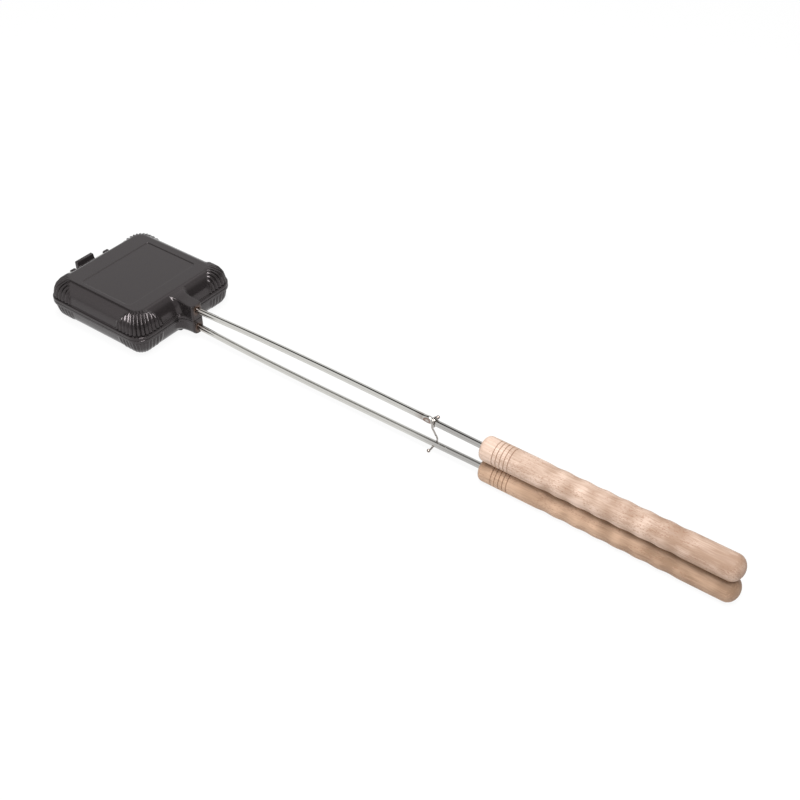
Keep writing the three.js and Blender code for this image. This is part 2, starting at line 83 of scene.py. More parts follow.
# Lights (above 0) and dark patches (below 0) of the sky: the way to the middle, how many degrees
# from there it is full and how many it is gone, and its strength
SKY_LIGHTS = [
    ((-0.47, -0.68, 0.56), 14, 42, 0.55),
    ((-0.42, 0.78, 0.45), 20, 44, 0.42),
    ((-0.47, 0.12, 0.87), 9, 27, -0.6),
    ((0.8, 0.6, 0.0), 24, 46, -0.6),
    ((0.06, 0.66, 0.75), 12, 20, 0.7),
]


class Amount:
    """A number that a node tree works out. Each sum with it adds a Math node to the tree."""

    def __init__(self, socket):
        self.socket = socket

    def __add__(self, other):
        return calculate("ADD", self, other)

    def __sub__(self, other):
        return calculate("SUBTRACT", self, other)

    def __rsub__(self, other):
        return calculate("SUBTRACT", other, self)

    def __mul__(self, other):
        return calculate("MULTIPLY", self, other)

    def __truediv__(self, other):
        return calculate("DIVIDE", self, other)


def source_of(value):
    """What goes into a socket: the socket behind an amount, or the plain value itself."""
    return value.socket if isinstance(value, Amount) else value


def plug(node, sockets):
    """Fills a node's sockets with plain values or with what other nodes put out."""
    for key, value in dict(sockets).items():
        source = source_of(value)
        if isinstance(source, bpy.types.NodeSocket):
            node.id_data.links.new(source, node.inputs[key])
        else:
            node.inputs[key].default_value = source


def new_node(tree, kind, sockets=(), **settings):
    """A node of a tree, with its properties set and its sockets filled."""
    node = tree.nodes.new(kind)
    for name, value in settings.items():
        setattr(node, name, value)
    plug(node, sockets)
    return node


def calculate(operation, *values):
    """The result of a Math node, from amounts, sockets and plain numbers."""
    sources = [source_of(value) for value in values]
    tree = next(source.id_data for source in sources if isinstance(source, bpy.types.NodeSocket))
    return Amount(new_node(tree, "ShaderNodeMath", enumerate(sources), operation=operation).outputs[0])


def spread(tree, value, low, high, to_low=0.0, to_high=1.0, curve="SMOOTHSTEP"):
    """A value's way from low to high, as a way between two other numbers."""
    sockets = {"Value": value, "From Min": low, "From Max": high, "To Min": to_low, "To Max": to_high}
    return Amount(new_node(tree, "ShaderNodeMapRange", sockets, interpolation_type=curve).outputs[0])


scene.view_settings.view_transform = "Standard"
world = bpy.data.worlds.new("studio")
scene.world = world
world.use_nodes = True
sky = world.node_tree
sky_direction = new_node(sky, "ShaderNodeTexCoord").outputs["Generated"]
brightness = SKY_LEVEL
for direction, full, gone, strength in SKY_LIGHTS:
    sky_axes = {0: sky_direction, 1: Vector(direction).normalized()}
    nearness = new_node(sky, "ShaderNodeVectorMath", sky_axes, operation="DOT_PRODUCT").outputs["Value"]
    gone_at, full_at = math.cos(math.radians(gone)), math.cos(math.radians(full))
    brightness = spread(sky, nearness, gone_at, full_at, 0.0, strength) + brightness
brightness = calculate("MAXIMUM", brightness, SKY_DARKEST)
plug(sky.nodes["Background"], {"Color": (1, 1, 1, 1), "Strength": brightness})

lamp_data = bpy.data.lights.new("softbox", "AREA")
lamp_data.shape = "RECTANGLE"
lamp_data.size, lamp_data.size_y, lamp_data.energy = LAMP_WIDTH, LAMP_LENGTH, LAMP_POWER
lamp = bpy.data.objects.new("softbox", lamp_data)
lamp_turn = LAMP_DIRECTION.to_track_quat("Z", "Y").to_matrix().to_4x4()
lamp.matrix_world = Matrix.Translation(LAMP_AIM + LAMP_DIRECTION * LAMP_DISTANCE) @ lamp_turn
scene.collection.objects.link(lamp)

floor_mesh = bpy.data.meshes.new("table_top")
floor_corners = [(x * FLOOR_HALF, y * FLOOR_HALF, 0) for x, y in ((-1, -1), (1, -1), (1, 1), (-1, 1))]
floor_mesh.from_pydata(floor_corners, [], [(0, 1, 2, 3)])
floor = bpy.data.objects.new("table_top", floor_mesh)
scene.collection.objects.link(floor)
floor_material = bpy.data.materials.new("white_table")
floor_material.use_nodes = True
floor_tree = floor_material.node_tree
floor_tree.nodes.clear()
ray = new_node(floor_tree, "ShaderNodeLightPath").outputs
seen = calculate("MAXIMUM", ray["Is Camera Ray"], ray["Is Glossy Ray"])
seen = calculate("MAXIMUM", seen, ray["Is Transmission Ray"])
floor_matt = new_node(floor_tree, "ShaderNodeBsdfDiffuse", {"Color": FLOOR_WHITE})
floor_glow = new_node(floor_tree, "ShaderNodeEmission")
floor_look = new_node(floor_tree, "ShaderNodeMixShader", {
    "Fac": seen * FLOOR_OWN_LIGHT, 1: floor_matt.outputs[0], 2: floor_glow.outputs[0]})
new_node(floor_tree, "ShaderNodeOutputMaterial", {"Surface": floor_look.outputs[0]})
floor_mesh.materials.append(floor_material)

# Cast iron shells. Two sand-cast pans, black and semi-gloss, that meet at a flat rim: a wall with
# ribbed corners and an upright lip, a neck for the rod, and at the far end two ears on the lower
# pan and a knuckle on the upper one, through which the hinge pin goes.
# All in millimetres, and each shell in its own frame: its parting face at 0 and its top above
PARTING_HEIGHT, PARTING_GAP, PARTING_EDGE = 22.85, 0.15, 0.25
SHELL_HEIGHTS = {"lower": 22.7, "upper": 21.65}
HEAD_HALF, RIM_CORNER = 65.0, 15.4
PLATEAU_CORNERS = {"lower": 3.2, "upper": 9.5}
LIP_HEIGHT, LIP_WIDTH, LIP_ROUNDING, LIP_ROUNDING_STEPS = 3.05, 2.2, 0.7, 4
LIP_SUPPORT_SHARE = 0.75
NECK_HALF, NECK_PLACE, NECK_END, NECK_EDGE, NECK_SHOULDER = 6.5, -1.8, 79.5, 1.5, 0.7
NECK_HEIGHTS = {"lower": 15.6, "upper": 16.4}
SEAT_RADIUS, SEAT_DEPTH, SEAT_HEIGHT, SEAT_PLACE, SEAT_SIDES = 3.3, 18.0, 9.75, -1.0, 32
PAN_HALF, PAN_CORNER, PAN_FLOOR_CORNER, PAN_SLOPE, FLOOR_THICKNESS = 57.0, 10.0, 5.0, 11.0, 4.0
SMOOTH_STEPS = 3
CASTING_CREASE = 34

# Ribs round each corner, and how far out on the diagonal they begin and have their full height
RIB_COUNT, RIB_PITCH, RIB_STEPS = 13, 4.6, 10
RIB_HEIGHTS = {"lower": 0.85, "upper": 1.6}
RIB_FADE_START, RIB_FADE_END = 65.2, 68.4

# The neck flares out to the lip and to the wall: how far along X, and how wide
LIP_FLARE = (12.0, 5.5)
WALL_FLARE_ENDS, WALL_FLARE_WIDTHS = {"lower": 74.6, "upper": 68.0}, {"lower": 9.0, "upper": 5.0}
WALL_FLARE_SHORTEST, WALL_FLARE_LONGEST = 4.5, {"lower": 30.0, "upper": 6.5}
WALL_SUPPORT = 0.8
# Height, and the share of the flare's width left there
FLARE_WIDTH_SHARES = {"lower": [(0, 1), (11, 1), (15.6, 0.5), (20, 0.1)], "upper": [(0, 1), (22, 1)]}

# Wall from its foot to the plateau: share of the inset, share of the height above the lip,
# share of the rib height, and share of the way from the rim's corner radius to the plateau's
WALL_INSETS = {"lower": 14.8, "upper": 13.0}
WALL_ROWS = {
    "lower": [
        (0, 0.02, 0, 0.16), (0.012, 0.09, 0.8, 0.19), (0.075, 0.34, 0.9, 0.26), (0.15, 0.54, 0.95, 0.36),
        (0.27, 0.71, 0.95, 0.46), (0.43, 0.844, 0.8, 0.6), (0.62, 0.938, 0.45, 0.74),
        (0.84, 0.985, 0.1, 0.9), (1, 1, 0, 1), (1.1, 1, 0, 1.08)],
    "upper": [
        (0, 0.02, 0, 0.2), (0.012, 0.08, 1, 0.26), (0.085, 0.3, 1.1, 0.4), (0.17, 0.47, 1.3, 0.52),
        (0.31, 0.634, 1.5, 0.68), (0.48, 0.775, 1.4, 0.79), (0.68, 0.887, 1.3, 0.88),
        (0.84, 0.965, 1.1, 0.95), (1, 1, 0.6, 1), (1.1, 1, 0, 1.04)],
}

# Top of the neck from its end back to the wall, X and height, and the share of its width left at
# a height. The levels that its round shoulder and its slope need are added to the wall's.
NECK_TOPS = {
    "lower": [(79.5, 15.6), (68, 15.7), (63, 16.1), (60.5, 16.8), (59, 17.7), (57.6, 18.6), (56, 20)],
    "upper": [(79.5, 16.4), (70.6, 16.93), (64.65, 17.5), (59.9, 18.34), (55.74, 19.55), (52.18, 20.81),
              (50.25, 21.49)],
}
NECK_WIDTHS = {
    "lower": [(0, 1), (11.2, 1), (13.0, 0.94), (14.3, 0.83), (15.1, 0.68), (15.6, 0.45), (20, 0.4)],
    "upper": [(0, 1), (22, 1)],
}
NECK_SHOULDER_ANGLES = (0, 20, 40, 60, 78)
NECK_SLOPE_RISES = (0.12, 0.25, 0.4, 0.7, 0.9, 1.35, 1.7, 2.3, 2.7, 3.6, 4)

# Pan from the rim to its floor: share of the slope's width and share of the depth
PAN_ROWS = [(-0.04, 0), (-0.015, 0.012), (0, 0.05), (0.27, 0.41), (0.5, 0.76), (0.72, 0.94), (1, 1), (1.2, 1)]


def smooth_rows(rows):
    """Rows of numbers with more rows between them, on a smooth curve through them all."""
    padded = [rows[0], *rows, rows[-1]]
    made = []
    for i in range(len(rows) - 1):
        a, b, c, d = (Vector(row) for row in padded[i:i + 4])
        for step in range(SMOOTH_STEPS):
            t = step / SMOOTH_STEPS
            bend = a * 2 - b * 5 + c * 4 - d
            twist = b * 3 - a - c * 3 + d
            made.append((b * 2 + (c - a) * t + bend * t**2 + twist * t**3) / 2)
    made.append(Vector(rows[-1]))
    return made


def between(rows, x):
    """The second number of the rows at a given first number, on straight lines between them."""
    ordered = sorted(rows)
    for (low_x, low_y), (high_x, high_y) in zip(ordered, ordered[1:]):
        if x <= high_x:
            return low_y + (high_y - low_y) * max(x - low_x, 0) / (high_x - low_x)
    return ordered[-1][1]


def on_side(side, place):
    """A place along Y in a shell's own frame. The lower shell is turned over, so it is mirrored."""
    return place if side == "upper" else -place


def corner_fan(half, radius):
    """The four ribbed corners of a square: each point, its way outwards, its place in the ribs, and
    how much of the rib is left there, for the ribs run out on a line across the corner."""
    fan = []
    steps = RIB_COUNT * RIB_STEPS
    arc_reach = RIM_CORNER * math.pi / 4
    for corner in range(4):
        turn = Matrix.Rotation(corner * math.pi / 2, 2)
        for column in range(-1, steps + 2):
            along = (column / RIB_STEPS - RIB_COUNT / 2) * RIB_PITCH
            past = max(abs(along) - arc_reach, 0)
            angle = math.pi / 4 + max(-math.pi / 4, min(math.pi / 4, along / RIM_CORNER))
            out = Vector((math.cos(angle), math.sin(angle)))
            point = Vector((half - radius, half - radius)) + out * radius
            point -= Vector((past if along > 0 else 0, past if along < 0 else 0))
            diagonal = (point.x + point.y) / math.sqrt(2)
            left = min(max((diagonal - RIB_FADE_START) / (RIB_FADE_END - RIB_FADE_START), 0), 1)
            phase = max(0, min(steps, column)) / RIB_STEPS
            fan.append((turn @ point, turn @ out, phase, left * left * (3 - 2 * left)))
    return fan


def neck_outline(side, z, wall, flare_length, flare_width, drawn_in):
    """The neck in plan at a height, from the wall on the near side round its end and back to it."""
    tops = NECK_TOPS[side]
    end = NECK_END if z <= NECK_HEIGHTS[side] else between([(height, x) for x, height in tops], z)
    half = NECK_HALF * between(NECK_WIDTHS[side], z)
    flare_width *= between(FLARE_WIDTH_SHARES[side], z)
    arc_steps, side_steps, edge_steps, least_half = 12, 6, 5, 0.5
    edge = NECK_EDGE if end == NECK_END else min(NECK_EDGE, (end - wall) / 3)
    reach = min(max((end - edge - wall) / flare_length, 0), 1)
    sweep = math.acos(1 - reach)
    near = [Vector((wall, -flare_width - half - WALL_SUPPORT))]
    for step in range(arc_steps + 1):
        angle = sweep * step / arc_steps
        x = wall + flare_length * (1 - math.cos(angle))
        near.append(Vector((x, flare_width * (math.sin(angle) - 1) - half)))
    corner = near[-1].copy()
    for step in range(1, side_steps):
        near.append(Vector((corner.x + (end - edge - corner.x) * step / side_steps, corner.y)))
    for step in range(edge_steps + 1):
        angle = math.pi / 2 * step / edge_steps
        near.append(Vector((end - edge + edge * math.sin(angle), corner.y + edge * (1 - math.cos(angle)))))
    for point in near:
        if side == "upper":
            rise = min(max((z - between(tops, point.x)) / NECK_SHOULDER + 1, 0), 1)
            shoulder = NECK_SHOULDER * (1 - math.sqrt(1 - rise * rise))
            point.y += min(shoulder, -corner.y - least_half)
            if z <= NECK_HEIGHTS[side]:
                point.x = min(point.x, NECK_END - shoulder)
        point.y += drawn_in
        point.x -= drawn_in
    middle = on_side(side, NECK_PLACE)
    far = [Vector((point.x, middle - point.y)) for point in reversed(near)]
    return [point + Vector((0, middle)) for point in near] + far


def wall_behind_neck(side, wall, count):
    """As many points as the neck's outline has, in a straight line on the wall."""
    half = NECK_HALF + WALL_FLARE_WIDTHS[side]
    middle = on_side(side, NECK_PLACE)
    inner = [middle + half * (2 * i / (count - 3) - 1) for i in range(count - 2)]
    return [Vector((wall, y)) for y in (inner[0] - WALL_SUPPORT, *inner, inner[-1] + WALL_SUPPORT)]


def flat_triangle(bm, corners, facing):
    """A triangle that faces the given way."""
    normal = (corners[1].co - corners[0].co).cross(corners[2].co - corners[0].co)
    bm.faces.new(corners if normal.dot(facing) > 0 else corners[::-1])


def flat_cap(bm, ring, facing):
    """Closes a flat ring with triangles round a point in its middle."""
    middle = bm.verts.new(sum((vert.co for vert in ring), Vector()) / len(ring))
    for i, vert in enumerate(ring):
        flat_triangle(bm, [vert, ring[(i + 1) % len(ring)], middle], facing)


def flat_band(bm, outer, inner, facing):
    """Closes the flat band between two rings of different numbers of points, the shorter way each time."""
    start = min(range(len(inner)), key=lambda j: (inner[j].co - outer[0].co).length)
    inner = inner[start:] + inner[:start]
    middle = sum((vert.co for vert in inner), Vector()) / len(inner)
    turns = []
    for ring in (outer, inner):
        pairs = zip(ring, ring[1:])
        turns.append(sum(((a.co - middle).cross(b.co - middle).dot(facing) for a, b in pairs), 0.0))
    if turns[0] * turns[1] < 0:
        inner = inner[:1] + inner[:0:-1]
    i = j = 0
    while i < len(outer) or j < len(inner):
        here, there = outer[i % len(outer)], inner[j % len(inner)]
        next_here, next_there = outer[(i + 1) % len(outer)], inner[(j + 1) % len(inner)]
        outer_way = (next_here.co - there.co).length if i < len(outer) else math.inf
        inner_way = (next_there.co - here.co).length if j < len(inner) else math.inf
        if outer_way <= inner_way:
            flat_triangle(bm, [here, next_here, there], facing)
            i += 1
        else:
            flat_triangle(bm, [here, next_there, there], facing)
            j += 1


def bridge(bm, lower, upper, gap=None):
    """Faces between two closed rings of as many points, which face outwards where the rings rise."""
    count = len(lower)
    for i in range(count):
        if i != gap:
            j = (i + 1) % count
            bm.faces.new((lower[i], lower[j], upper[j], upper[i]))


def circle(radius, sides):
    """Points round a circle, as pairs."""
    angles = [2 * math.pi * i / sides for i in range(sides)]
    return [(radius * math.cos(angle), radius * math.sin(angle)) for angle in angles]


def round_square(half_x, half_y, radii, steps, shift=(0, 0), side_steps=1):
    """A rectangle with round corners, anticlockwise."""
    corners = []
    for corner, (sign_x, sign_y) in enumerate(((1, 1), (-1, 1), (-1, -1), (1, -1))):
        radius = radii[corner]
        for step in range(steps + 1):
            angle = math.pi / 2 * (corner + step / steps)
            x = sign_x * (half_x - radius) + radius * math.cos(angle) + shift[0]
            y = sign_y * (half_y - radius) + radius * math.sin(angle) + shift[1]
            corners.append(Vector((x, y)))
    points = []
    for i, point in enumerate(corners):
        points.append(point)
        if i % (steps + 1) == steps:
            after = corners[(i + 1) % len(corners)]
            points += [point.lerp(after, step / side_steps) for step in range(1, side_steps)]
    return points


def wall_levels(side):
    """Height, inset, corner radius, rib share and the neck's flare at each ring of the wall."""
    lip_length, lip_width = LIP_FLARE
    levels = [(0, PARTING_EDGE, RIM_CORNER, 0, lip_length, lip_width)]
    levels.append((PARTING_EDGE, 0, RIM_CORNER, 0, lip_length, lip_width))
    for step in range(LIP_ROUNDING_STEPS + 1):
        angle = math.pi / 2 * step / LIP_ROUNDING_STEPS
        inset = LIP_ROUNDING * (1 - math.cos(angle))
        z = LIP_HEIGHT - LIP_ROUNDING * (1 - math.sin(angle))
        levels.append((z, inset, RIM_CORNER - inset, 0, lip_length + inset, lip_width))
    inset = LIP_WIDTH * LIP_SUPPORT_SHARE
    levels.append((LIP_HEIGHT, inset, RIM_CORNER - inset, 0, lip_length + inset, lip_width))
    for inset_share, height_share, rib_share, tightening in smooth_rows(WALL_ROWS[side]):
        radius = RIM_CORNER + (PLATEAU_CORNERS[side] - RIM_CORNER) * tightening
        z = LIP_HEIGHT + (SHELL_HEIGHTS[side] - LIP_HEIGHT) * min(height_share, 1)
        inset = LIP_WIDTH + WALL_INSETS[side] * inset_share
        length = max(WALL_FLARE_ENDS[side] - HEAD_HALF + inset, WALL_FLARE_SHORTEST)
        length = min(length, WALL_FLARE_LONGEST[side])
        levels.append((z, inset, radius, max(rib_share, 0), length, WALL_FLARE_WIDTHS[side]))
    return levels


def level_at(levels, z):
    """A further level of the wall at a given height, between the two levels next to it."""
    for low, high in zip(levels, levels[1:]):
        if low[0] <= z < high[0]:
            share = (z - low[0]) / (high[0] - low[0])
            return tuple(a + (b - a) * share for a, b in zip(low, high))
    raise ValueError(z)


def shell_levels(side):
    """The wall's levels, with more of them where the neck's top and sides bend."""
    foot_clearance, closest = 0.5, 0.06
    levels = wall_levels(side)
    top = NECK_HEIGHTS[side]
    heights = [height for _, height in NECK_TOPS[side]] + [height for height, _ in NECK_WIDTHS[side]]
    heights += [top - NECK_SHOULDER * (1 - math.sin(math.radians(angle))) for angle in NECK_SHOULDER_ANGLES]
    heights += [top + rise for rise in NECK_SLOPE_RISES]
    lowest, highest = LIP_HEIGHT + foot_clearance, levels[-3][0]
    for z in sorted({round(height, 3) for height in heights if lowest < height < highest}):
        if all(abs(z - level[0]) > closest for level in levels):
            levels.append(level_at(sorted(levels), z))
            levels.sort()
    return levels


def outside_rings(bm, side):
    """A ring of points for each level, round the four corners and then round the neck. It gives the
    rings, the place of the neck's end in a ring, and the last ring that reaches the end."""
    rib_phase = bm.verts.layers.float.new("rib_phase")
    rib_share = bm.verts.layers.float.new("rib_share")
    rib_out = bm.verts.layers.float_vector.new("rib_out")
    neck_rows = [(height, x) for x, height in NECK_TOPS[side]]
    below_plateau = SHELL_HEIGHTS[side] - 0.1
    least_neck = 0.3
    rings = []
    last_end = neck_count = fan_count = 0
    for index, (z, inset, radius, share, flare_length, flare_width) in enumerate(shell_levels(side)):
        wall = HEAD_HALF - inset
        ring = []
        for point, out, phase, left in corner_fan(wall, radius):
            vert = bm.verts.new((point.x, point.y, z))
            vert[rib_phase], vert[rib_share], vert[rib_out] = phase, share * left, (out.x, out.y, 0)
            ring.append(vert)
        fan_count = len(ring)
        at_end = z <= NECK_HEIGHTS[side]
        if at_end or z < below_plateau and between(neck_rows, z) > wall + least_neck:
            drawn_in = PARTING_EDGE if index == 0 else 0
            neck = neck_outline(side, z, wall, flare_length, flare_width, drawn_in)
            neck_count = len(neck)
        else:
            neck = wall_behind_neck(side, wall, neck_count)
        ring += [bm.verts.new((point.x, point.y, z)) for point in neck]
        rings.append(ring)
        if at_end:
            last_end = index
    return rings, fan_count + neck_count // 2 - 1, last_end


def close_neck_end(bm, side, near_edge, far_edge):
    """The flat end of the neck, with the blind hole for the rod."""
    middle = on_side(side, SEAT_PLACE)
    hole = []
    for depth in (0, SEAT_DEPTH):
        hole.append([bm.verts.new((NECK_END - depth, middle + across, SEAT_HEIGHT + rise))
                     for across, rise in circle(SEAT_RADIUS, SEAT_SIDES)])
    flat_band(bm, far_edge + near_edge[::-1], hole[0], Vector((1, 0, 0)))
    bridge(bm, hole[0], hole[1])
    flat_cap(bm, hole[1], Vector((1, 0, 0)))


def sink_pan(bm, side, rim):
    """The flat parting face inside the rim, and the pan."""
    pan_depth = SHELL_HEIGHTS[side] - FLOOR_THICKNESS
    corner_steps, side_steps = 10, 18
    pan = []
    for inset_share, depth_share in smooth_rows(PAN_ROWS):
        half = PAN_HALF - PAN_SLOPE * inset_share
        radius = PAN_CORNER + (PAN_FLOOR_CORNER - PAN_CORNER) * inset_share
        outline = round_square(half, half, [radius] * 4, corner_steps, side_steps=side_steps)
        pan.append([bm.verts.new((*point, pan_depth * min(depth_share, 1))) for point in outline])
    for outer, inner in zip(pan, pan[1:]):
        bridge(bm, inner, outer)
    flat_cap(bm, pan[-1], Vector((0, 0, -1)))
    flat_band(bm, rim, pan[0], Vector((0, 0, -1)))


def close_plateau(bm, side, edge, field_outlines):
    """The flat top, with the bare field sunk into it where there is one."""
    upwards = Vector((0, 0, 1))
    if not field_outlines:
        flat_cap(bm, edge, upwards)
        return
    field = []
    for outline, depth in field_outlines:
        field.append([bm.verts.new((*point, SHELL_HEIGHTS[side] - depth)) for point in outline])
    flat_band(bm, edge, field[0], upwards)
    for outer, inner in zip(field, field[1:]):
        bridge(bm, outer, inner)
    flat_cap(bm, field[-1], upwards)


def shell_mesh(side, field_outlines=()):
    """One shell with its parting face at z = 0 and its wall rising, before the ribs are raised."""
    bm = bmesh.new()
    rings, end_gap, last_end = outside_rings(bm, side)
    end_rings = rings[1:last_end + 1]
    for i, (lower, upper) in enumerate(zip(rings, rings[1:])):
        bridge(bm, lower, upper, end_gap if 1 <= i < last_end else None)
    close_neck_end(bm, side, [ring[end_gap] for ring in end_rings], [ring[end_gap + 1] for ring in end_rings])
    sink_pan(bm, side, rings[0])
    close_plateau(bm, side, rings[-1], field_outlines)
    bmesh.ops.remove_doubles(bm, verts=bm.verts, dist=1e-5)
    mesh = bpy.data.meshes.new(side + "_shell")
    bm.to_mesh(mesh)
    bm.free()
    return mesh


def new_tree(name, tree_kind, inputs, outputs):
    """A group of nodes with named inputs and outputs: the tree, what comes in, and the node that
    puts its results out."""
    tree = bpy.data.node_groups.new(name, tree_kind)
    for label, kind, value in inputs:
        socket = tree.interface.new_socket(label, in_out="INPUT", socket_type="NodeSocket" + kind)
        if value is not None:
            socket.default_value = value
    for label, kind in outputs:
        tree.interface.new_socket(label, in_out="OUTPUT", socket_type="NodeSocket" + kind)
    return tree, tree.nodes.new("NodeGroupInput").outputs, tree.nodes.new("NodeGroupOutput")


def shape_tree(name, inputs):
    """A geometry tree with named sizes."""
    shape = ("Geometry", "Geometry")
    return new_tree(name, "GeometryNodeTree", [(*shape, None), *inputs], [shape])


def end_tree(tree, geometry, material, output):
    """Realize Instances and Set Material, with which every geometry tree ends."""
    real = new_node(tree, "GeometryNodeRealizeInstances", {"Geometry": geometry})
    dressed = new_node(tree, "GeometryNodeSetMaterial", {"Geometry": real.outputs[0], "Material": material})
    plug(output, {0: dressed.outputs[0]})


def stored(tree, name, kind="FLOAT"):
    """What a mesh carries at its points under a name."""
    return new_node(tree, "GeometryNodeInputNamedAttribute", {"Name": name}, data_type=kind).outputs[0]


def evaluated(piece, name):
    """The piece's mesh as its modifiers leave it."""
    graph = bpy.context.evaluated_depsgraph_get()
    mesh = bpy.data.meshes.new_from_object(piece.evaluated_get(graph), depsgraph=graph)
    mesh.name = name
    return mesh


def in_scene(name, mesh):
    """An object for a mesh, in the scene."""
    piece = bpy.data.objects.new(name, mesh)
    scene.collection.objects.link(piece)
    return piece


def baked(tree, mesh, name, values):
    """The tree's result on a mesh, as a plain object in the scene."""
    piece = in_scene(name, mesh)
    modifier = piece.modifiers.new(name, "NODES")
    modifier.node_group = tree
    for socket in tree.interface.items_tree:
        if socket.in_out == "INPUT" and socket.name in values:
            modifier[socket.identifier] = values[socket.name]
    plain = evaluated(piece, name)
    piece.modifiers.remove(modifier)
    piece.data = plain
    return piece


def joined(piece, other, operation):
    """One solid from two, by a Boolean that is applied at once. The other one goes."""
    modifier = piece.modifiers.new("joint", "BOOLEAN")
    modifier.operation, modifier.object, modifier.solver = operation, other, "EXACT"
    plain = evaluated(piece, piece.name)
    piece.modifiers.remove(modifier)
    piece.data = plain
    bpy.data.objects.remove(other)


def finished(piece, sharp_degrees):
    """Smooth shading, except along edges that turn more than the angle."""
    piece.data.shade_smooth()
    piece.data.set_sharp_from_angle(angle=math.radians(sharp_degrees))


def places(tree, vector):
    """A vector's X, Y and Z, each as an amount."""
    return [Amount(socket) for socket in new_node(tree, "ShaderNodeSeparateXYZ", {0: vector}).outputs]


def object_place(tree):
    """A point's place in its piece, which all patterns follow."""
    return new_node(tree, "ShaderNodeTexCoord").outputs["Object"]


def colour_mix(tree, share, low, high):
    """A colour between two others."""
    return new_node(tree, "ShaderNodeMix", {0: share, 6: low, 7: high}, data_type="RGBA").outputs[2]


# Fine unevenness of a surface, a group of nodes that every finish here uses
unevenness, fine_in, fine_out = new_tree(
    "fine unevenness", "ShaderNodeTree",
    [(name, "Float", value) for name, value in (
        ("Scale", 400.0), ("Detail", 4.0), ("Low", 0.3), ("High", 0.5), ("Stretch X", 1.0))],
    [("Height", "Float"), ("Roughness", "Float")])
fine_stretch = new_node(unevenness, "ShaderNodeCombineXYZ", {"X": fine_in["Stretch X"], "Y": 1.0, "Z": 1.0})
fine_place = new_node(unevenness, "ShaderNodeVectorMath", {
    0: object_place(unevenness), 1: fine_stretch.outputs[0]}, operation="MULTIPLY")
fine_noise = new_node(unevenness, "ShaderNodeTexNoise", {
    "Vector": fine_place.outputs[0], "Scale": fine_in["Scale"], "Detail": fine_in["Detail"],
    "Roughness": 0.6}).outputs[0]
fine_spread = spread(unevenness, fine_noise, 0.3, 0.7, fine_in["Low"], fine_in["High"], "LINEAR")
plug(fine_out, {"Height": fine_noise, "Roughness": fine_spread})


def finish_material(name, metallic, sockets):
    """A new material with its Principled shader."""
    material = bpy.data.materials.new(name)
    material.use_nodes = True
    shader = material.node_tree.nodes["Principled BSDF"]
    plug(shader, {"Metallic": metallic, **sockets})
    return material, material.node_tree, shader


def uneven(tree, shader, scale, roughness, stretch_x, strength, depth):
    """Puts the fine unevenness on a shader's roughness and normal, and gives its height."""
    low, high = roughness
    fine = new_node(tree, "ShaderNodeGroup", {
        "Scale": scale, "Low": low, "High": high, "Stretch X": stretch_x}, node_tree=unevenness)
    bump = new_node(tree, "ShaderNodeBump", {
        "Strength": strength, "Distance": depth, "Height": fine.outputs["Height"]})
    plug(shader, {"Roughness": fine.outputs["Roughness"], "Normal": bump.outputs[0]})
    return fine.outputs["Height"]


cast_iron, iron_tree, iron_shader = finish_material("black cast iron", 0.0, {
    "Specular IOR Level": 0.46, "Specular Tint": (1, 0.9, 0.92, 1)})
iron_height = uneven(iron_tree, iron_shader, scale=1300.0, roughness=(0.14, 0.25), stretch_x=1.0,
                     strength=0.14, depth=0.0003)
iron_colour = colour_mix(iron_tree, iron_height, (0.01, 0.0085, 0.0085, 1), (0.022, 0.019, 0.0195, 1))

# Rust on the ends of the necks, where the coating stops round the rods
RUST_COLOUR, RUST_MOST, RUST_FAR = (0.1, 0.055, 0.032, 1), 0.55, 0.12
RUST_REACH, RUST_EDGE, RUST_RING = 1.2, 0.1, 2.1
iron_x, iron_y, iron_z = places(iron_tree, object_place(iron_tree))
rust_start, rust_full = (NECK_END - RUST_REACH) * MM, (NECK_END - RUST_EDGE) * MM
rust_depth = spread(iron_tree, iron_x, rust_start, rust_full, 0.0, RUST_MOST, "LINEAR")
rust_y = iron_y - SEAT_PLACE * MM
rust_z = calculate("ABSOLUTE", iron_z - PARTING_HEIGHT * MM) - (SEAT_HEIGHT + PARTING_GAP) * MM
rust_away = calculate("SQRT", rust_y * rust_y + rust_z * rust_z)
rust_near = spread(iron_tree, rust_away, SEAT_RADIUS * MM, RUST_RING * SEAT_RADIUS * MM, 1.0, RUST_FAR)
plug(iron_shader, {"Base Color": colour_mix(iron_tree, rust_depth * rust_near, iron_colour, RUST_COLOUR)})

# Ribs: half sine waves that stand proud of the wall, as far as the share at each point says
rib_tree, rib_in, rib_end = shape_tree("corner ribs", [("Rib Height", "Float", 1.0)])
rib_wave = calculate("ABSOLUTE", calculate("SINE", Amount(stored(rib_tree, "rib_phase")) * math.pi))
rib_rise = rib_wave * stored(rib_tree, "rib_share") * rib_in["Rib Height"]
rib_push = new_node(rib_tree, "ShaderNodeVectorMath", {
    0: stored(rib_tree, "rib_out", "FLOAT_VECTOR"), "Scale": rib_rise}, operation="SCALE")
ribbed = new_node(rib_tree, "GeometryNodeSetPosition", {
    "Geometry": rib_in["Geometry"], "Offset": rib_push.outputs[0]})
end_tree(rib_tree, ribbed.outputs[0], cast_iron, rib_end)


def placed_shell(piece, side):
    """Moves a shell's points from its own millimetres to its place in the iron, in metres."""
    if side == "upper":
        place = Matrix.Translation((0, 0, PARTING_HEIGHT + PARTING_GAP))
    else:
        place = Matrix.Translation((0, 0, PARTING_HEIGHT - PARTING_GAP)) @ Matrix.Rotation(math.pi, 4, "X")
    piece.data.transform(Matrix.Scale(MM, 4) @ place)


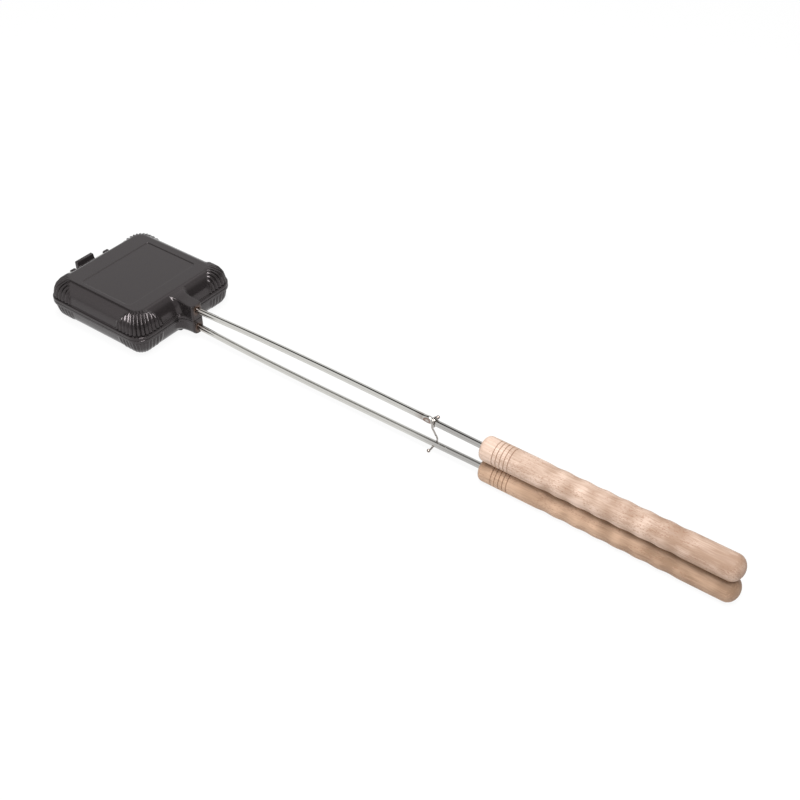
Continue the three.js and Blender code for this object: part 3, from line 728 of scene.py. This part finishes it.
def solid_between(first, last):
    """A solid between two flat outlines of as many points, still open to changes."""
    bm = bmesh.new()
    ends = [[bm.verts.new(point) for point in outline] for outline in (first, last)]
    bm.faces.new(ends[0])
    bm.faces.new(ends[1][::-1])
    bridge(bm, ends[1], ends[0])
    bmesh.ops.recalc_face_normals(bm, faces=bm.faces)
    return bm


def closed_piece(name, bm):
    """An object in the scene from a solid that needs no more changes."""
    mesh = bpy.data.meshes.new(name)
    bm.to_mesh(mesh)
    bm.free()
    return in_scene(name, mesh)


def upright_plate(name, outline, low_y, high_y, edge):
    """A plate across the head, from its outline in X and Z, with its edges rounded."""
    plate_crease = math.radians(40)
    bm = solid_between(*([(x, y, z) for x, z in outline] for y in (low_y, high_y)))
    rims = [rim for rim in bm.edges if len(rim.link_faces) == 2 and rim.calc_face_angle() > plate_crease]
    bmesh.ops.bevel(bm, geom=rims, offset=edge, segments=3, profile=0.5, affect="EDGES", clamp_overlap=True)
    bmesh.ops.triangulate(bm, faces=bm.faces)
    return closed_piece(name, bm)


def pin_hole(x, z):
    """The round bar along Y with which the hole for the hinge pin is cut."""
    ring = circle(PIN_HOLE_RADIUS, PIN_HOLE_SIDES)
    ends = ([(x + across, y, z + rise) for across, rise in ring] for y in (-PIN_HOLE_HALF, PIN_HOLE_HALF))
    return closed_piece("hole", solid_between(*ends))


def arc(centre, radius_x, radius_z, first, last, steps):
    """Points on an ellipse, between two angles in degrees."""
    points = []
    for i in range(steps + 1):
        angle = math.radians(first + (last - first) * i / steps)
        points.append((centre[0] + radius_x * math.cos(angle), centre[1] + radius_z * math.sin(angle)))
    return points


# Lower shell. The half that lies on the table: its ribs are low, and two round ears, cast on at
# its far end, stand up beside the knuckle and carry the hinge pin.
HINGE_X, HINGE_HEIGHT = -73.0, 3.4
HINGE_ROOT = 5.2 - HEAD_HALF
PIN_HOLE_RADIUS, PIN_HOLE_HALF, PIN_HOLE_SIDES = 1.8, 30, 40
EAR_RADIUS, EAR_HALF_WIDTH, EAR_MIDDLES, EAR_FOOT, EAR_DROP = 3.4, 2.6, (-22.0, 22.0), 0.6, 11.0
EAR_FRONT, EAR_EDGE, EAR_ARC_STEPS = 2.2, 0.5, 16

lower_shell = baked(rib_tree, shell_mesh("lower"), "lower_casting", {"Rib Height": RIB_HEIGHTS["lower"]})
ear_pin = -(HINGE_HEIGHT + PARTING_GAP)
ear_outline = [(HINGE_ROOT, EAR_FOOT), (-HEAD_HALF - EAR_FRONT, EAR_FOOT), (HINGE_X + EAR_RADIUS, ear_pin)]
ear_outline += arc((HINGE_X, ear_pin), EAR_RADIUS, EAR_RADIUS, 0, -180, EAR_ARC_STEPS)[1:]
ear_outline.append((HINGE_X - EAR_RADIUS, EAR_FOOT))
ear_outline += [(HINGE_X + EAR_RADIUS / 2, EAR_DROP - LIP_HEIGHT), (HINGE_ROOT, EAR_DROP)]
for middle in EAR_MIDDLES:
    ear = upright_plate("ear", ear_outline, middle - EAR_HALF_WIDTH, middle + EAR_HALF_WIDTH, EAR_EDGE)
    joined(lower_shell, ear, "UNION")
joined(lower_shell, pin_hole(HINGE_X, ear_pin), "DIFFERENCE")
placed_shell(lower_shell, "lower")
finished(lower_shell, CASTING_CREASE)
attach(lower_shell, "lower")
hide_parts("lower_shell")

# Upper shell. The half with the high ribs and, on its flat top, a bare field that is cast a little
# deeper. One knuckle, cast on at its far end, turns on the pin between the ears.
FIELD_HALF_X, FIELD_HALF_Y, FIELD_SHIFT, FIELD_CORNERS = 33.15, 44.1, (2.2, -1.65), (2.5, 2.5, 2.5, 6.0)
FIELD_DEPTH, FIELD_ROUNDING, FIELD_CORNER_STEPS = 0.6, 0.06, 6
KNUCKLE_LOW_Y, KNUCKLE_HIGH_Y, KNUCKLE_EDGE, KNUCKLE_FRONT = -15.95, 5.55, 0.6, 0.3
KNUCKLE_FOOT, KNUCKLE_WEB, KNUCKLE_TOP, KNUCKLE_OVERHANG = 0.3, 6.6, 11.2, 3.8
KNUCKLE_TOP_LENGTH, KNUCKLE_SLOPE_LENGTH, KNUCKLE_DROP, KNUCKLE_ARC_STEPS = 3.8, 5.2, 3.4, 10

# Step down to the field: how far outside its edge and how deep each of its outlines lies
field_step = [
    (0.9, 0), (0.5, 0), (0.3, FIELD_ROUNDING),
    (-0.25, FIELD_DEPTH - FIELD_ROUNDING), (-0.45, FIELD_DEPTH), (-0.85, FIELD_DEPTH)]
field_outlines = []
for margin, depth in field_step:
    field_corners = [corner + margin for corner in FIELD_CORNERS]
    field_outlines.append((round_square(FIELD_HALF_X + margin, FIELD_HALF_Y + margin, field_corners,
                                        FIELD_CORNER_STEPS, FIELD_SHIFT), depth))
upper_mesh = shell_mesh("upper", field_outlines)
upper_shell = baked(rib_tree, upper_mesh, "upper_casting", {"Rib Height": RIB_HEIGHTS["upper"]})
knuckle_pin = HINGE_HEIGHT - PARTING_GAP
knuckle_back = HINGE_X - KNUCKLE_OVERHANG
knuckle_outline = [
    (HINGE_ROOT, KNUCKLE_FOOT), (HINGE_ROOT, KNUCKLE_WEB), (knuckle_back + KNUCKLE_SLOPE_LENGTH, KNUCKLE_WEB),
    (knuckle_back + KNUCKLE_TOP_LENGTH, KNUCKLE_TOP), (knuckle_back, KNUCKLE_TOP)]
knuckle_outline += arc((HINGE_X, knuckle_pin), KNUCKLE_OVERHANG, KNUCKLE_DROP, 180, 270, KNUCKLE_ARC_STEPS)
knuckle_outline.append((-HEAD_HALF - KNUCKLE_FRONT, KNUCKLE_FOOT))
knuckle = upright_plate("knuckle", knuckle_outline, KNUCKLE_LOW_Y, KNUCKLE_HIGH_Y, KNUCKLE_EDGE)
joined(upper_shell, knuckle, "UNION")
joined(upper_shell, pin_hole(HINGE_X, knuckle_pin), "DIFFERENCE")
placed_shell(upper_shell, "upper")
finished(upper_shell, CASTING_CREASE)
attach(upper_shell, "upper")
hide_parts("upper_shell")

# Rods. 6 mm drawn steel, each driven into its neck and its handle. They spread a little behind
# the head, and the upper one is pinched flat in one spot, which stops the latch's coil.
ROD_DIAMETER, ROD_SIDES, ROD_SPACING = 6.0, 32, 0.6
ROD_START, HANDLE_FRONT, ROD_END = 61.8, 409.8, 469.5
ROD_AXIS, HANDLE_AXIS = 9.9, 11.5
# Share of the way from neck to handle, of the rise in between, and of the neck's shift aside
ROD_SPREAD = [(0.085, 0.56, 1), (0.2, 1.34, 0.85), (0.42, 1.9, 0.5), (0.64, 1.75, 0.12), (0.85, 1.34, 0)]
STOP_X, STOP_REACH, STOP_SPREAD = 352.4, 4.9, 1.2
DIMPLE_HALF_X, DIMPLE_HALF_Z, DIMPLE_DEPTH = 3.4, 2.3, 0.55
NECK_STAIN, NECK_STAIN_END, NECK_STAIN_FADE = 0.4, 96.0, 14
STOP_STAIN, STOP_STAIN_RING, STOP_STAIN_WIDTH = 0.85, 0.85, 0.6
BEHIND_STOP_STAIN, BEHIND_STOP_FADE = 0.35, 9
DULL_START, DULL_END, DULL_MOST = 320, 380, 0.75
DULL_COLOUR, STAIN_COLOUR = (0.38, 0.37, 0.36, 1), (0.15, 0.06, 0.03, 1)
ROD_CREASE = 50

# Round bar: a circle that follows a path, and swells where the path says so
bar_tree, bar_in, bar_end = shape_tree("round bar", [
    ("Diameter", "Float", ROD_DIAMETER * MM), ("Sides", "Int", ROD_SIDES), ("Material", "Material", None)])
bar_path = new_node(bar_tree, "GeometryNodeMeshToCurve", {"Mesh": bar_in["Geometry"]})
bar_circle = new_node(bar_tree, "GeometryNodeCurvePrimitiveCircle", {
    "Resolution": bar_in["Sides"], "Radius": calculate("DIVIDE", bar_in["Diameter"], 2.0)}, mode="RADIUS")
bar_body = new_node(bar_tree, "GeometryNodeCurveToMesh", {
    "Curve": bar_path.outputs[0], "Profile Curve": bar_circle.outputs[0], "Scale": stored(bar_tree, "swell"),
    "Fill Caps": True})
bar_closed = new_node(bar_tree, "GeometryNodeMergeByDistance", {
    "Geometry": bar_body.outputs[0], "Distance": 2e-6})
end_tree(bar_tree, bar_closed.outputs[0], bar_in["Material"], bar_end)


def smooth_path(points, spacing):
    """Points about as far apart as asked, on a smooth curve through the given ones."""
    padded = [points[0] * 2 - points[1], *points, points[-1] * 2 - points[-2]]
    made = []
    for a, b, c, d in zip(padded, padded[1:], padded[2:], padded[3:]):
        before, here, after = (math.sqrt((high - low).length) for low, high in ((a, b), (b, c), (c, d)))
        leave = ((b - a) / before - (c - a) / (before + here) + (c - b) / here) * here
        arrive = ((c - b) / here - (d - b) / (here + after) + (d - c) / after) * here
        steps = max(1, round((c - b).length / spacing))
        for step in range(steps):
            t = step / steps
            bend = (c - b) * 3 - leave * 2 - arrive
            twist = (b - c) * 2 + leave + arrive
            made.append(b + leave * t + bend * t**2 + twist * t**3)
    return made + [points[-1]]


def path_mesh(name, points):
    """A chain of edges through points in metres."""
    mesh = bpy.data.meshes.new(name)
    mesh.from_pydata(points, [(i, i + 1) for i in range(len(points) - 1)], [])
    return mesh


def write_points(mesh, name, amounts):
    """Gives each point of a mesh its number under a name."""
    mesh.attributes.new(name, "FLOAT", "POINT").data.foreach_set("value", amounts)


def bar(name, points, swells, diameter, sides, material):
    """A round bar along points in millimetres, in its place in the iron."""
    mesh = path_mesh(name, [point * MM for point in points])
    write_points(mesh, "swell", swells)
    return baked(bar_tree, mesh, name, {"Diameter": diameter * MM, "Sides": sides, "Material": material})


def steel_material(name, colour, stretch_x):
    """Bright steel with fine drawing marks. It is duller near the handles, where it is held, and
    has brown heat tarnish where the piece says so."""
    material, tree, shader = finish_material(name, 1.0, {"Specular IOR Level": 0.5})
    uneven(tree, shader, scale=1500.0, roughness=(0.07, 0.14), stretch_x=stretch_x,
           strength=0.08, depth=0.0002)
    along_rod = places(tree, object_place(tree))[0]
    dull = spread(tree, along_rod, DULL_START * MM, DULL_END * MM, 0.0, DULL_MOST)
    duller = colour_mix(tree, dull, (*colour, 1), DULL_COLOUR)
    stain = new_node(tree, "ShaderNodeAttribute", attribute_name="stain")
    plug(shader, {"Base Color": colour_mix(tree, stain.outputs["Fac"], duller, STAIN_COLOUR)})
    return material


drawn_steel = steel_material("drawn steel", (0.62, 0.61, 0.58), 0.02)


def rod_points(direction):
    """The rod's axis, above (1) or below (-1) the parting plane."""
    rows = [(ROD_START, SEAT_PLACE, ROD_AXIS), (NECK_END, SEAT_PLACE, ROD_AXIS)]
    for length_share, rise_share, place_share in ROD_SPREAD:
        x = NECK_END + (HANDLE_FRONT - NECK_END) * length_share
        rows.append((x, SEAT_PLACE * place_share, ROD_AXIS + (HANDLE_AXIS - ROD_AXIS) * rise_share))
    rows += [(HANDLE_FRONT, 0, HANDLE_AXIS), (ROD_END, 0, HANDLE_AXIS)]
    path = smooth_path([Vector((x, y, z * direction)) for x, y, z in rows], ROD_SPACING)
    return [point + Vector((0, 0, PARTING_HEIGHT)) for point in path]


def rod_piece(name, direction, stopped):
    """A rod with its tarnish near the neck, and with the pinched stop if it has one."""
    path = rod_points(direction)
    piece = bar(name, path, [1.0] * len(path), ROD_DIAMETER, ROD_SIDES, drawn_steel)
    axis_z = min(path, key=lambda point: abs(point.x - STOP_X)).z
    stains = []
    for vert in piece.data.vertices:
        x, y, z = vert.co / MM
        stain = NECK_STAIN * min(max((NECK_STAIN_END - x) / NECK_STAIN_FADE, 0), 1)
        offset = (x - STOP_X) / STOP_REACH
        before_stop = STOP_X - STOP_REACH - x
        if stopped and abs(offset) < 1:
            squeeze = (1 - offset**2) ** 2
            z = axis_z + (z - axis_z) * (1 + (STOP_SPREAD - 1) * squeeze)
            oval = ((x - STOP_X) / DIMPLE_HALF_X) ** 2 + ((z - axis_z) / DIMPLE_HALF_Z) ** 2
            if oval < 1:
                y -= math.copysign(DIMPLE_DEPTH * (1 - oval**2), y)
            stain = STOP_STAIN * math.exp(-((oval - STOP_STAIN_RING) / STOP_STAIN_WIDTH) ** 2)
            vert.co = Vector((x, y, z)) * MM
        elif stopped and 0 < before_stop < BEHIND_STOP_FADE:
            stain = BEHIND_STOP_STAIN * (1 - before_stop / BEHIND_STOP_FADE)
        stains.append(stain)
    write_points(piece.data, "stain", stains)
    finished(piece, ROD_CREASE)
    return piece


lower_rod = rod_piece("lower_steel_rod", -1, False)
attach(lower_rod, "lower")
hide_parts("lower_rod")
upper_rod = rod_piece("upper_steel_rod", 1, True)
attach(upper_rod, "upper")
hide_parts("upper_rod")

# Hinge pin. A 3 mm steel pin through the lower shell's ears and the upper one's knuckle. Both of
# its ends are peened over, so that it stays in.
PIN_DIAMETER, PIN_CREASE = 3.0, 34
PIN_HEAD_SWELL, PIN_HEAD_FACE, PIN_HEAD_HEIGHT = 4.6 / 3.0, 24.9, 1.2
# From the tip of the head inwards: how far beyond the head's face, and how thick in pin diameters
PIN_HEAD_ROWS = [(PIN_HEAD_HEIGHT, 0.85), (1.05, 1.2), (0.6, PIN_HEAD_SWELL - 0.04),
                 (0.3, PIN_HEAD_SWELL), (0, PIN_HEAD_SWELL), (-0.02, 1.0)]

pin_profile = [(PIN_HEAD_FACE + beyond, swell) for beyond, swell in PIN_HEAD_ROWS]
pin_rows = [(-y, swell) for y, swell in pin_profile] + pin_profile[::-1]
pin_path = [Vector((HINGE_X, y, PARTING_HEIGHT + HINGE_HEIGHT)) for y, _ in pin_rows]
pin_swells = [swell for _, swell in pin_rows]
hinge_pin = bar("peened_pin", pin_path, pin_swells, PIN_DIAMETER, ROD_SIDES, drawn_steel)
finished(hinge_pin, PIN_CREASE)
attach(hinge_pin, "lower")
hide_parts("hinge_pin")

# Handles. Two turned pieces of pale beech: a round shoulder, five burnt ring grooves, seven soft
# finger waves and a domed butt, with a blind hole that the rod is driven into.
HANDLE_SIDES, HANDLE_CREASE = 72, 50
HANDLE_SIZES = {
    "Front": HANDLE_FRONT, "Diameter": 22.7, "Length": 236.2, "Shoulder": 4.6, "Groove First": 14.4,
    "Groove Pitch": 3.9, "Groove Width": 1.1, "Groove Depth": 0.55, "Wave First": 67.0, "Wave Pitch": 18.8,
    "Wave Depth": 0.6, "Dome Length": 9.5}
HANDLE_COUNTS = {"Groove Count": 5, "Wave Count": 7}
ROD_HOLE_DIAMETER, ROD_HOLE_START, ROD_HOLE_END = 6.6, -2, 60

handle_inputs = [(name, "Float", length * MM) for name, length in HANDLE_SIZES.items()]
handle_inputs += [(name, "Float", float(count)) for name, count in HANDLE_COUNTS.items()]
handle_tree, handle_in, handle_end = shape_tree(
    "turned handle", [*handle_inputs, ("Sides", "Int", HANDLE_SIDES), ("Material", "Material", None)])
size = {name: Amount(handle_in[name]) for name, _, _ in handle_inputs}


def kept_within(value, low, high):
    """A value, or the limit that it goes past."""
    return calculate("MINIMUM", calculate("MAXIMUM", value, low), high)


handle_x = places(handle_tree, new_node(handle_tree, "GeometryNodeInputPosition").outputs[0])[0]
from_front = handle_x - size["Front"]
full_radius = size["Diameter"] / 2.0

# Round shoulder at the front
short = kept_within((size["Shoulder"] - from_front) / size["Shoulder"], 0.0, 1.0)
shoulder_loss = (1.0 - calculate("SQRT", 1.0 - short * short)) * size["Shoulder"]

# Ring grooves
past_first = (from_front - size["Groove First"]) / size["Groove Pitch"]
nearest = kept_within(calculate("ROUND", past_first), 0.0, size["Groove Count"] - 1.0)
groove_offset = calculate("ABSOLUTE", past_first - nearest) * size["Groove Pitch"]
groove_share = calculate("MAXIMUM", 1.0 - groove_offset / (size["Groove Width"] / 2.0), 0.0)
groove_loss = groove_share * size["Groove Depth"]

# Finger waves, the first of which is deepest at Wave First
waves_passed = (from_front - size["Wave First"]) / size["Wave Pitch"] + 0.5
waves_passed = kept_within(waves_passed, 0.0, size["Wave Count"])
hollow = (1.0 - calculate("COSINE", waves_passed * (2 * math.pi))) / 2.0
wave_loss = hollow * size["Wave Depth"]

# Domed butt
dome_start = size["Length"] - size["Dome Length"]
in_dome = kept_within((from_front - dome_start) / size["Dome Length"], 0.0, 1.0)
dome_share = calculate("SQRT", calculate("MAXIMUM", 1.0 - in_dome * in_dome, 0.0))
turned_share = (full_radius - shoulder_loss - groove_loss - wave_loss) / full_radius * dome_share

handle_shape = new_node(handle_tree, "GeometryNodeMeshToCurve", {"Mesh": handle_in["Geometry"]})
# The wave hollows are stored too, so that the wood can paint shade into them
for carried, amount in (("burn", groove_share), ("hollow", hollow)):
    carried_sockets = {"Geometry": handle_shape.outputs[0], "Name": carried, "Value": amount}
    handle_shape = new_node(handle_tree, "GeometryNodeStoreNamedAttribute", carried_sockets,
                            data_type="FLOAT", domain="POINT")
handle_circle = new_node(handle_tree, "GeometryNodeCurvePrimitiveCircle", {
    "Resolution": handle_in["Sides"], "Radius": full_radius}, mode="RADIUS")
handle_body = new_node(handle_tree, "GeometryNodeCurveToMesh", {
    "Curve": handle_shape.outputs[0], "Profile Curve": handle_circle.outputs[0], "Scale": turned_share,
    "Fill Caps": True})
handle_closed = new_node(handle_tree, "GeometryNodeMergeByDistance", {
    "Geometry": handle_body.outputs[0], "Distance": 5e-6})
end_tree(handle_tree, handle_closed.outputs[0], handle_in["Material"], handle_end)

# Pale beech, a group of nodes: growth rings, fine fibre, short dark flecks and a cloudy tone, all
# drawn out along X, with painted shade: darker towards the butt, where the light falls off, and in the
# hollows of the waves
RING_FREQUENCY, RING_WARP, RING_TONE = 2600.0, 0.008, 0.09
FIBRE_TONE, CLOUD_TONE, HOLLOW_PAINTED_SHADE, FLECK_TONE = 0.3, 0.42, 0.3, 0.8
BUTT_PAINTED_SHADE, BUTT_PAINTED_SHADE_START, BUTT_PAINTED_SHADE_END = 0.5, 520, 650
beech, beech_in, beech_out = new_tree(
    "beech", "ShaderNodeTree",
    [(name, "Color", value) for name, value in (
        ("Light", (0.75, 0.56, 0.42, 1)), ("Dark", (0.55, 0.36, 0.24, 1)), ("Fleck", (0.3, 0.15, 0.08, 1)))]
    + [(name, "Float", value) for name, value in (
        ("Heart Y", 0.03), ("Heart Z", 0.0), ("Seed", 0.0), ("Hollow Shade", 0.0))],
    [("Color", "Color"), ("Height", "Float")])
beech_place = object_place(beech)


def drawn_out(x, y, z):
    """Places in the wood scaled by direction, and set off by the seed."""
    scaled = new_node(beech, "ShaderNodeVectorMath", {0: beech_place, 1: (x, y, z)}, operation="MULTIPLY")
    offset = new_node(beech, "ShaderNodeCombineXYZ", {"X": beech_in["Seed"], "Y": 0.0, "Z": 0.0})
    both = {0: scaled.outputs[0], 1: offset.outputs[0]}
    return new_node(beech, "ShaderNodeVectorMath", both, operation="ADD").outputs[0]


def wood_noise(vector, detail):
    """Soft noise in the wood."""
    noise = new_node(beech, "ShaderNodeTexNoise", {
        "Vector": vector, "Scale": 1.0, "Detail": detail, "Roughness": 0.6})
    return Amount(noise.outputs[0])


beech_x, beech_y, beech_z = places(beech, beech_place)
off_y, off_z = beech_y - beech_in["Heart Y"], beech_z - beech_in["Heart Z"]
from_heart = calculate("SQRT", off_y * off_y + off_z * off_z)
warp = wood_noise(drawn_out(9, 60, 60), 2.0) * RING_WARP
rings = spread(beech, calculate("SINE", (from_heart + warp) * RING_FREQUENCY), -1.0, 1.0, 0.0, RING_TONE)
fibre = spread(beech, wood_noise(drawn_out(70, 1300, 1300), 3.0), 0.32, 0.68, 0.0, FIBRE_TONE)
cloud = spread(beech, wood_noise(drawn_out(35, 70, 70), 2.0), 0.35, 0.65, 0.0, CLOUD_TONE)
# Painted shade: darker towards the butt, where the light falls off along the handle, and darker in the
# hollows of the waves
butt_painted_shade = spread(beech, beech_x, BUTT_PAINTED_SHADE_START * MM, BUTT_PAINTED_SHADE_END * MM, 0.0, BUTT_PAINTED_SHADE)
tone = rings + fibre + (cloud + butt_painted_shade) + calculate("MULTIPLY", beech_in["Hollow Shade"], HOLLOW_PAINTED_SHADE)
fleck_cells = new_node(beech, "ShaderNodeTexVoronoi", {
    "Vector": drawn_out(330, 1250, 1250), "Scale": 1.0, "Randomness": 1.0})
fleck_shape = spread(beech, fleck_cells.outputs["Distance"], 0.2, 0.36, 1.0, 0.0)
fleck_patches = spread(beech, wood_noise(drawn_out(25, 90, 90), 1.0), 0.42, 0.56)
flecks = fleck_shape * fleck_patches * FLECK_TONE
wood_colour = colour_mix(beech, tone, beech_in["Light"], beech_in["Dark"])
wood_colour = colour_mix(beech, flecks, wood_colour, beech_in["Fleck"])
plug(beech_out, {"Color": wood_colour, "Height": fibre - flecks})


def beech_material(name, light, dark, heart_y, heart_z, seed):
    """Turned beech with the grooves burnt brown."""
    fleck_colour, burn_colour, burn_most = (0.24, 0.12, 0.07, 1), (0.2, 0.1, 0.055, 1), 0.9
    material, tree, shader = finish_material(name, 0.0, {"Specular IOR Level": 0.35})
    uneven(tree, shader, scale=700.0, roughness=(0.5, 0.66), stretch_x=0.1, strength=0.1, depth=0.0002)
    burn = new_node(tree, "ShaderNodeAttribute", attribute_name="burn").outputs["Fac"]
    # Where the wave hollows are, for the painted shade in them
    hollow_painted_shade_mask = new_node(tree, "ShaderNodeAttribute", attribute_name="hollow").outputs["Fac"]
    wood = new_node(tree, "ShaderNodeGroup", {
        "Light": light, "Dark": dark, "Fleck": fleck_colour, "Heart Y": heart_y, "Heart Z": heart_z,
        "Seed": seed, "Hollow Shade": hollow_painted_shade_mask}, node_tree=beech)
    burnt = calculate("MULTIPLY", burn, burn_most)
    plug(shader, {"Base Color": colour_mix(tree, burnt, wood.outputs["Color"], burn_colour)})
    return material


def handle_stations():
    """Places along the handle where its outline needs a point, from the front to the butt."""
    wave_steps, taper_steps, dome_steps = 12, 8, 14
    waves_start = HANDLE_SIZES["Wave First"] - HANDLE_SIZES["Wave Pitch"] / 2
    waves_end = waves_start + HANDLE_SIZES["Wave Pitch"] * HANDLE_COUNTS["Wave Count"]
    butt_start = HANDLE_SIZES["Length"] - HANDLE_SIZES["Dome Length"]
    stations = [0.0, 0.15, 0.5, 1.0, 1.6, 2.4, 3.4, HANDLE_SIZES["Shoulder"]]
    stations += [8.0, 12.0, 32.0, 34.0, 40.0, 46.0, 52.0, waves_start]
    for i in range(HANDLE_COUNTS["Groove Count"]):
        groove = HANDLE_SIZES["Groove First"] + HANDLE_SIZES["Groove Pitch"] * i
        stations += [groove + offset for offset in (-0.85, -0.55, -0.3, 0.0, 0.3, 0.55, 0.85)]
    for i in range(1, HANDLE_COUNTS["Wave Count"] * wave_steps + 1):
        stations.append(waves_start + HANDLE_SIZES["Wave Pitch"] * i / wave_steps)
    for i in range(1, taper_steps + 1):
        stations.append(waves_end + (butt_start - waves_end) * i / taper_steps)
    for i in range(1, dome_steps + 1):
        stations.append(butt_start + HANDLE_SIZES["Dome Length"] * math.sin(math.pi / 2 * i / dome_steps))
    return sorted({round(station, 4) for station in stations})


def turned_handle(name, height, material):
    """One handle in its place, with the hole for its rod."""
    mesh = path_mesh(name, [((HANDLE_FRONT + x) * MM, 0, height * MM) for x in handle_stations()])
    piece = baked(handle_tree, mesh, name, {"Sides": HANDLE_SIDES, "Material": material})
    hole_path = [Vector((HANDLE_FRONT + x, 0, height)) for x in (ROD_HOLE_START, ROD_HOLE_END)]
    joined(piece, bar("hole", hole_path, [1, 1], ROD_HOLE_DIAMETER, ROD_SIDES, material), "DIFFERENCE")
    finished(piece, HANDLE_CREASE)
    return piece


# The lower handle is a darker, more ochre copy of the same beech as the upper one: its darkness is painted
# shade
lower_beech_shaded = beech_material("beech, ochre, painted shade", light=(0.5, 0.335, 0.232, 1), dark=(0.25, 0.155, 0.097, 1),
                             heart_y=0.02, heart_z=-0.03, seed=3.7)
lower_handle = turned_handle("lower_beech_handle", PARTING_HEIGHT - HANDLE_AXIS, lower_beech_shaded)
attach(lower_handle, "lower")
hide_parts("lower_handle")
upper_beech = beech_material("beech, pale", light=(0.59, 0.45, 0.367, 1), dark=(0.29, 0.187, 0.129, 1),
                             heart_y=0.03, heart_z=0.06, seed=0.0)
upper_handle = turned_handle("upper_beech_handle", PARTING_HEIGHT + HANDLE_AXIS, upper_beech)
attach(upper_handle, "upper")
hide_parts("upper_handle")

# Latch. One bent steel wire, wound once round the upper rod behind the stop. It hangs down as a
# bent leg, hooks under the lower rod, and has a bead at either end.
WIRE_DIAMETER, BEAD_DIAMETER, WIRE_SIDES, WIRE_SPACING, BEAD_STEPS = 1.7, 3.3, 20, 0.35, 8
LATCH_X, LATCH_Z = 358.6, 34.911
COIL_PITCH, COIL_START, COIL_END, COIL_STEPS, TURN_GAP = 3.1, -36.0, 420.0, 12, 0.5
LATCH_KINK, HOOK_CLEARANCE = 1.2, 0.8
# Leg's bends: shares of the kink along X, of the hook's radius across, and of the upper rod's height
LEG_ROWS = [(0, -0.67, 0.35), (-0.25, -0.31, 0.62), (1, 0, 1.08), (1, 0.62, 1.6), (0, 1, 2)]
HOOK_TURNS = (0.36, 0.7, 1.0)
WIRE_STAIN, BEAD_STAIN, BEAD_STAIN_REACH, LATCH_CREASE = 0.08, 0.4, 0.55, 60

axis_height = LATCH_Z - PARTING_HEIGHT
rod_drop = 2 * axis_height
coil_radius = (ROD_DIAMETER + WIRE_DIAMETER) / 2 + TURN_GAP
hook_radius = (ROD_DIAMETER + WIRE_DIAMETER) / 2 + HOOK_CLEARANCE
bead_lift = (BEAD_DIAMETER - WIRE_DIAMETER) / 2
latch_points = []
for i in range(COIL_STEPS + 1):
    turn_share = i / COIL_STEPS
    angle = math.radians(COIL_START + (COIL_END - COIL_START) * turn_share)
    reach = coil_radius + (bead_lift if i == 0 else 0)
    along_rod = COIL_PITCH * min(0.5, 0.5 + 1 / COIL_STEPS - turn_share + turn_share**8 / 2)
    latch_points.append(Vector((along_rod, -reach * math.sin(angle), reach * math.cos(angle))))
for kink, sideways, drop in LEG_ROWS:
    latch_points.append(Vector((LATCH_KINK * kink, hook_radius * sideways, -axis_height * drop)))
for turn in HOOK_TURNS:
    angle = math.pi / 2 * turn
    under_rod = -rod_drop - hook_radius * math.sin(angle)
    latch_points.append(Vector((-LATCH_KINK * turn, hook_radius * math.cos(angle), under_rod)))
for y in (-(ROD_DIAMETER / 2 + BEAD_DIAMETER) / 2, -(ROD_DIAMETER / 2 + BEAD_DIAMETER)):
    under_rod = -math.sqrt((rod_drop + hook_radius + bead_lift) ** 2 - y**2)
    latch_points.append(Vector((-LATCH_KINK, y, under_rod)))
wire_path = smooth_path([point + Vector((LATCH_X, 0, LATCH_Z)) for point in latch_points], WIRE_SPACING)


def with_bead(path):
    """The path with half a bead's length more at its start, in the finer steps that a bead needs."""
    bead_radius = BEAD_DIAMETER / 2
    outwards = (path[0] - path[1]).normalized()
    angles = [math.pi / 2 * step / BEAD_STEPS for step in range(BEAD_STEPS)]
    return [path[0] + outwards * bead_radius * math.cos(angle) for angle in angles] + path


wire_path = with_bead(with_bead(wire_path)[::-1])
bead_middles = [wire_path[BEAD_STEPS], wire_path[-BEAD_STEPS - 1]]
wire_swells = []
for i, point in enumerate(wire_path):
    off = min((point - middle).length for middle in bead_middles)
    ball = math.sqrt(max((BEAD_DIAMETER / 2) ** 2 - off**2, 0)) * 2 / WIRE_DIAMETER
    beyond_wire = i < BEAD_STEPS or i >= len(wire_path) - BEAD_STEPS
    wire_swells.append(ball if beyond_wire else max(1.0, ball))
wire_steel = steel_material("bent wire", (0.5, 0.47, 0.43), 1.0)
latch = bar("latch_of_bent_wire", wire_path, wire_swells, WIRE_DIAMETER, WIRE_SIDES, wire_steel)
wire_stains = []
for vert in latch.data.vertices:
    off = min((vert.co / MM - middle).length for middle in bead_middles)
    wire_stains.append(BEAD_STAIN if off < BEAD_DIAMETER * BEAD_STAIN_REACH else WIRE_STAIN)
write_points(latch.data, "stain", wire_stains)
finished(latch, LATCH_CREASE)
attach(latch, "latch")
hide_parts("latch_wire")
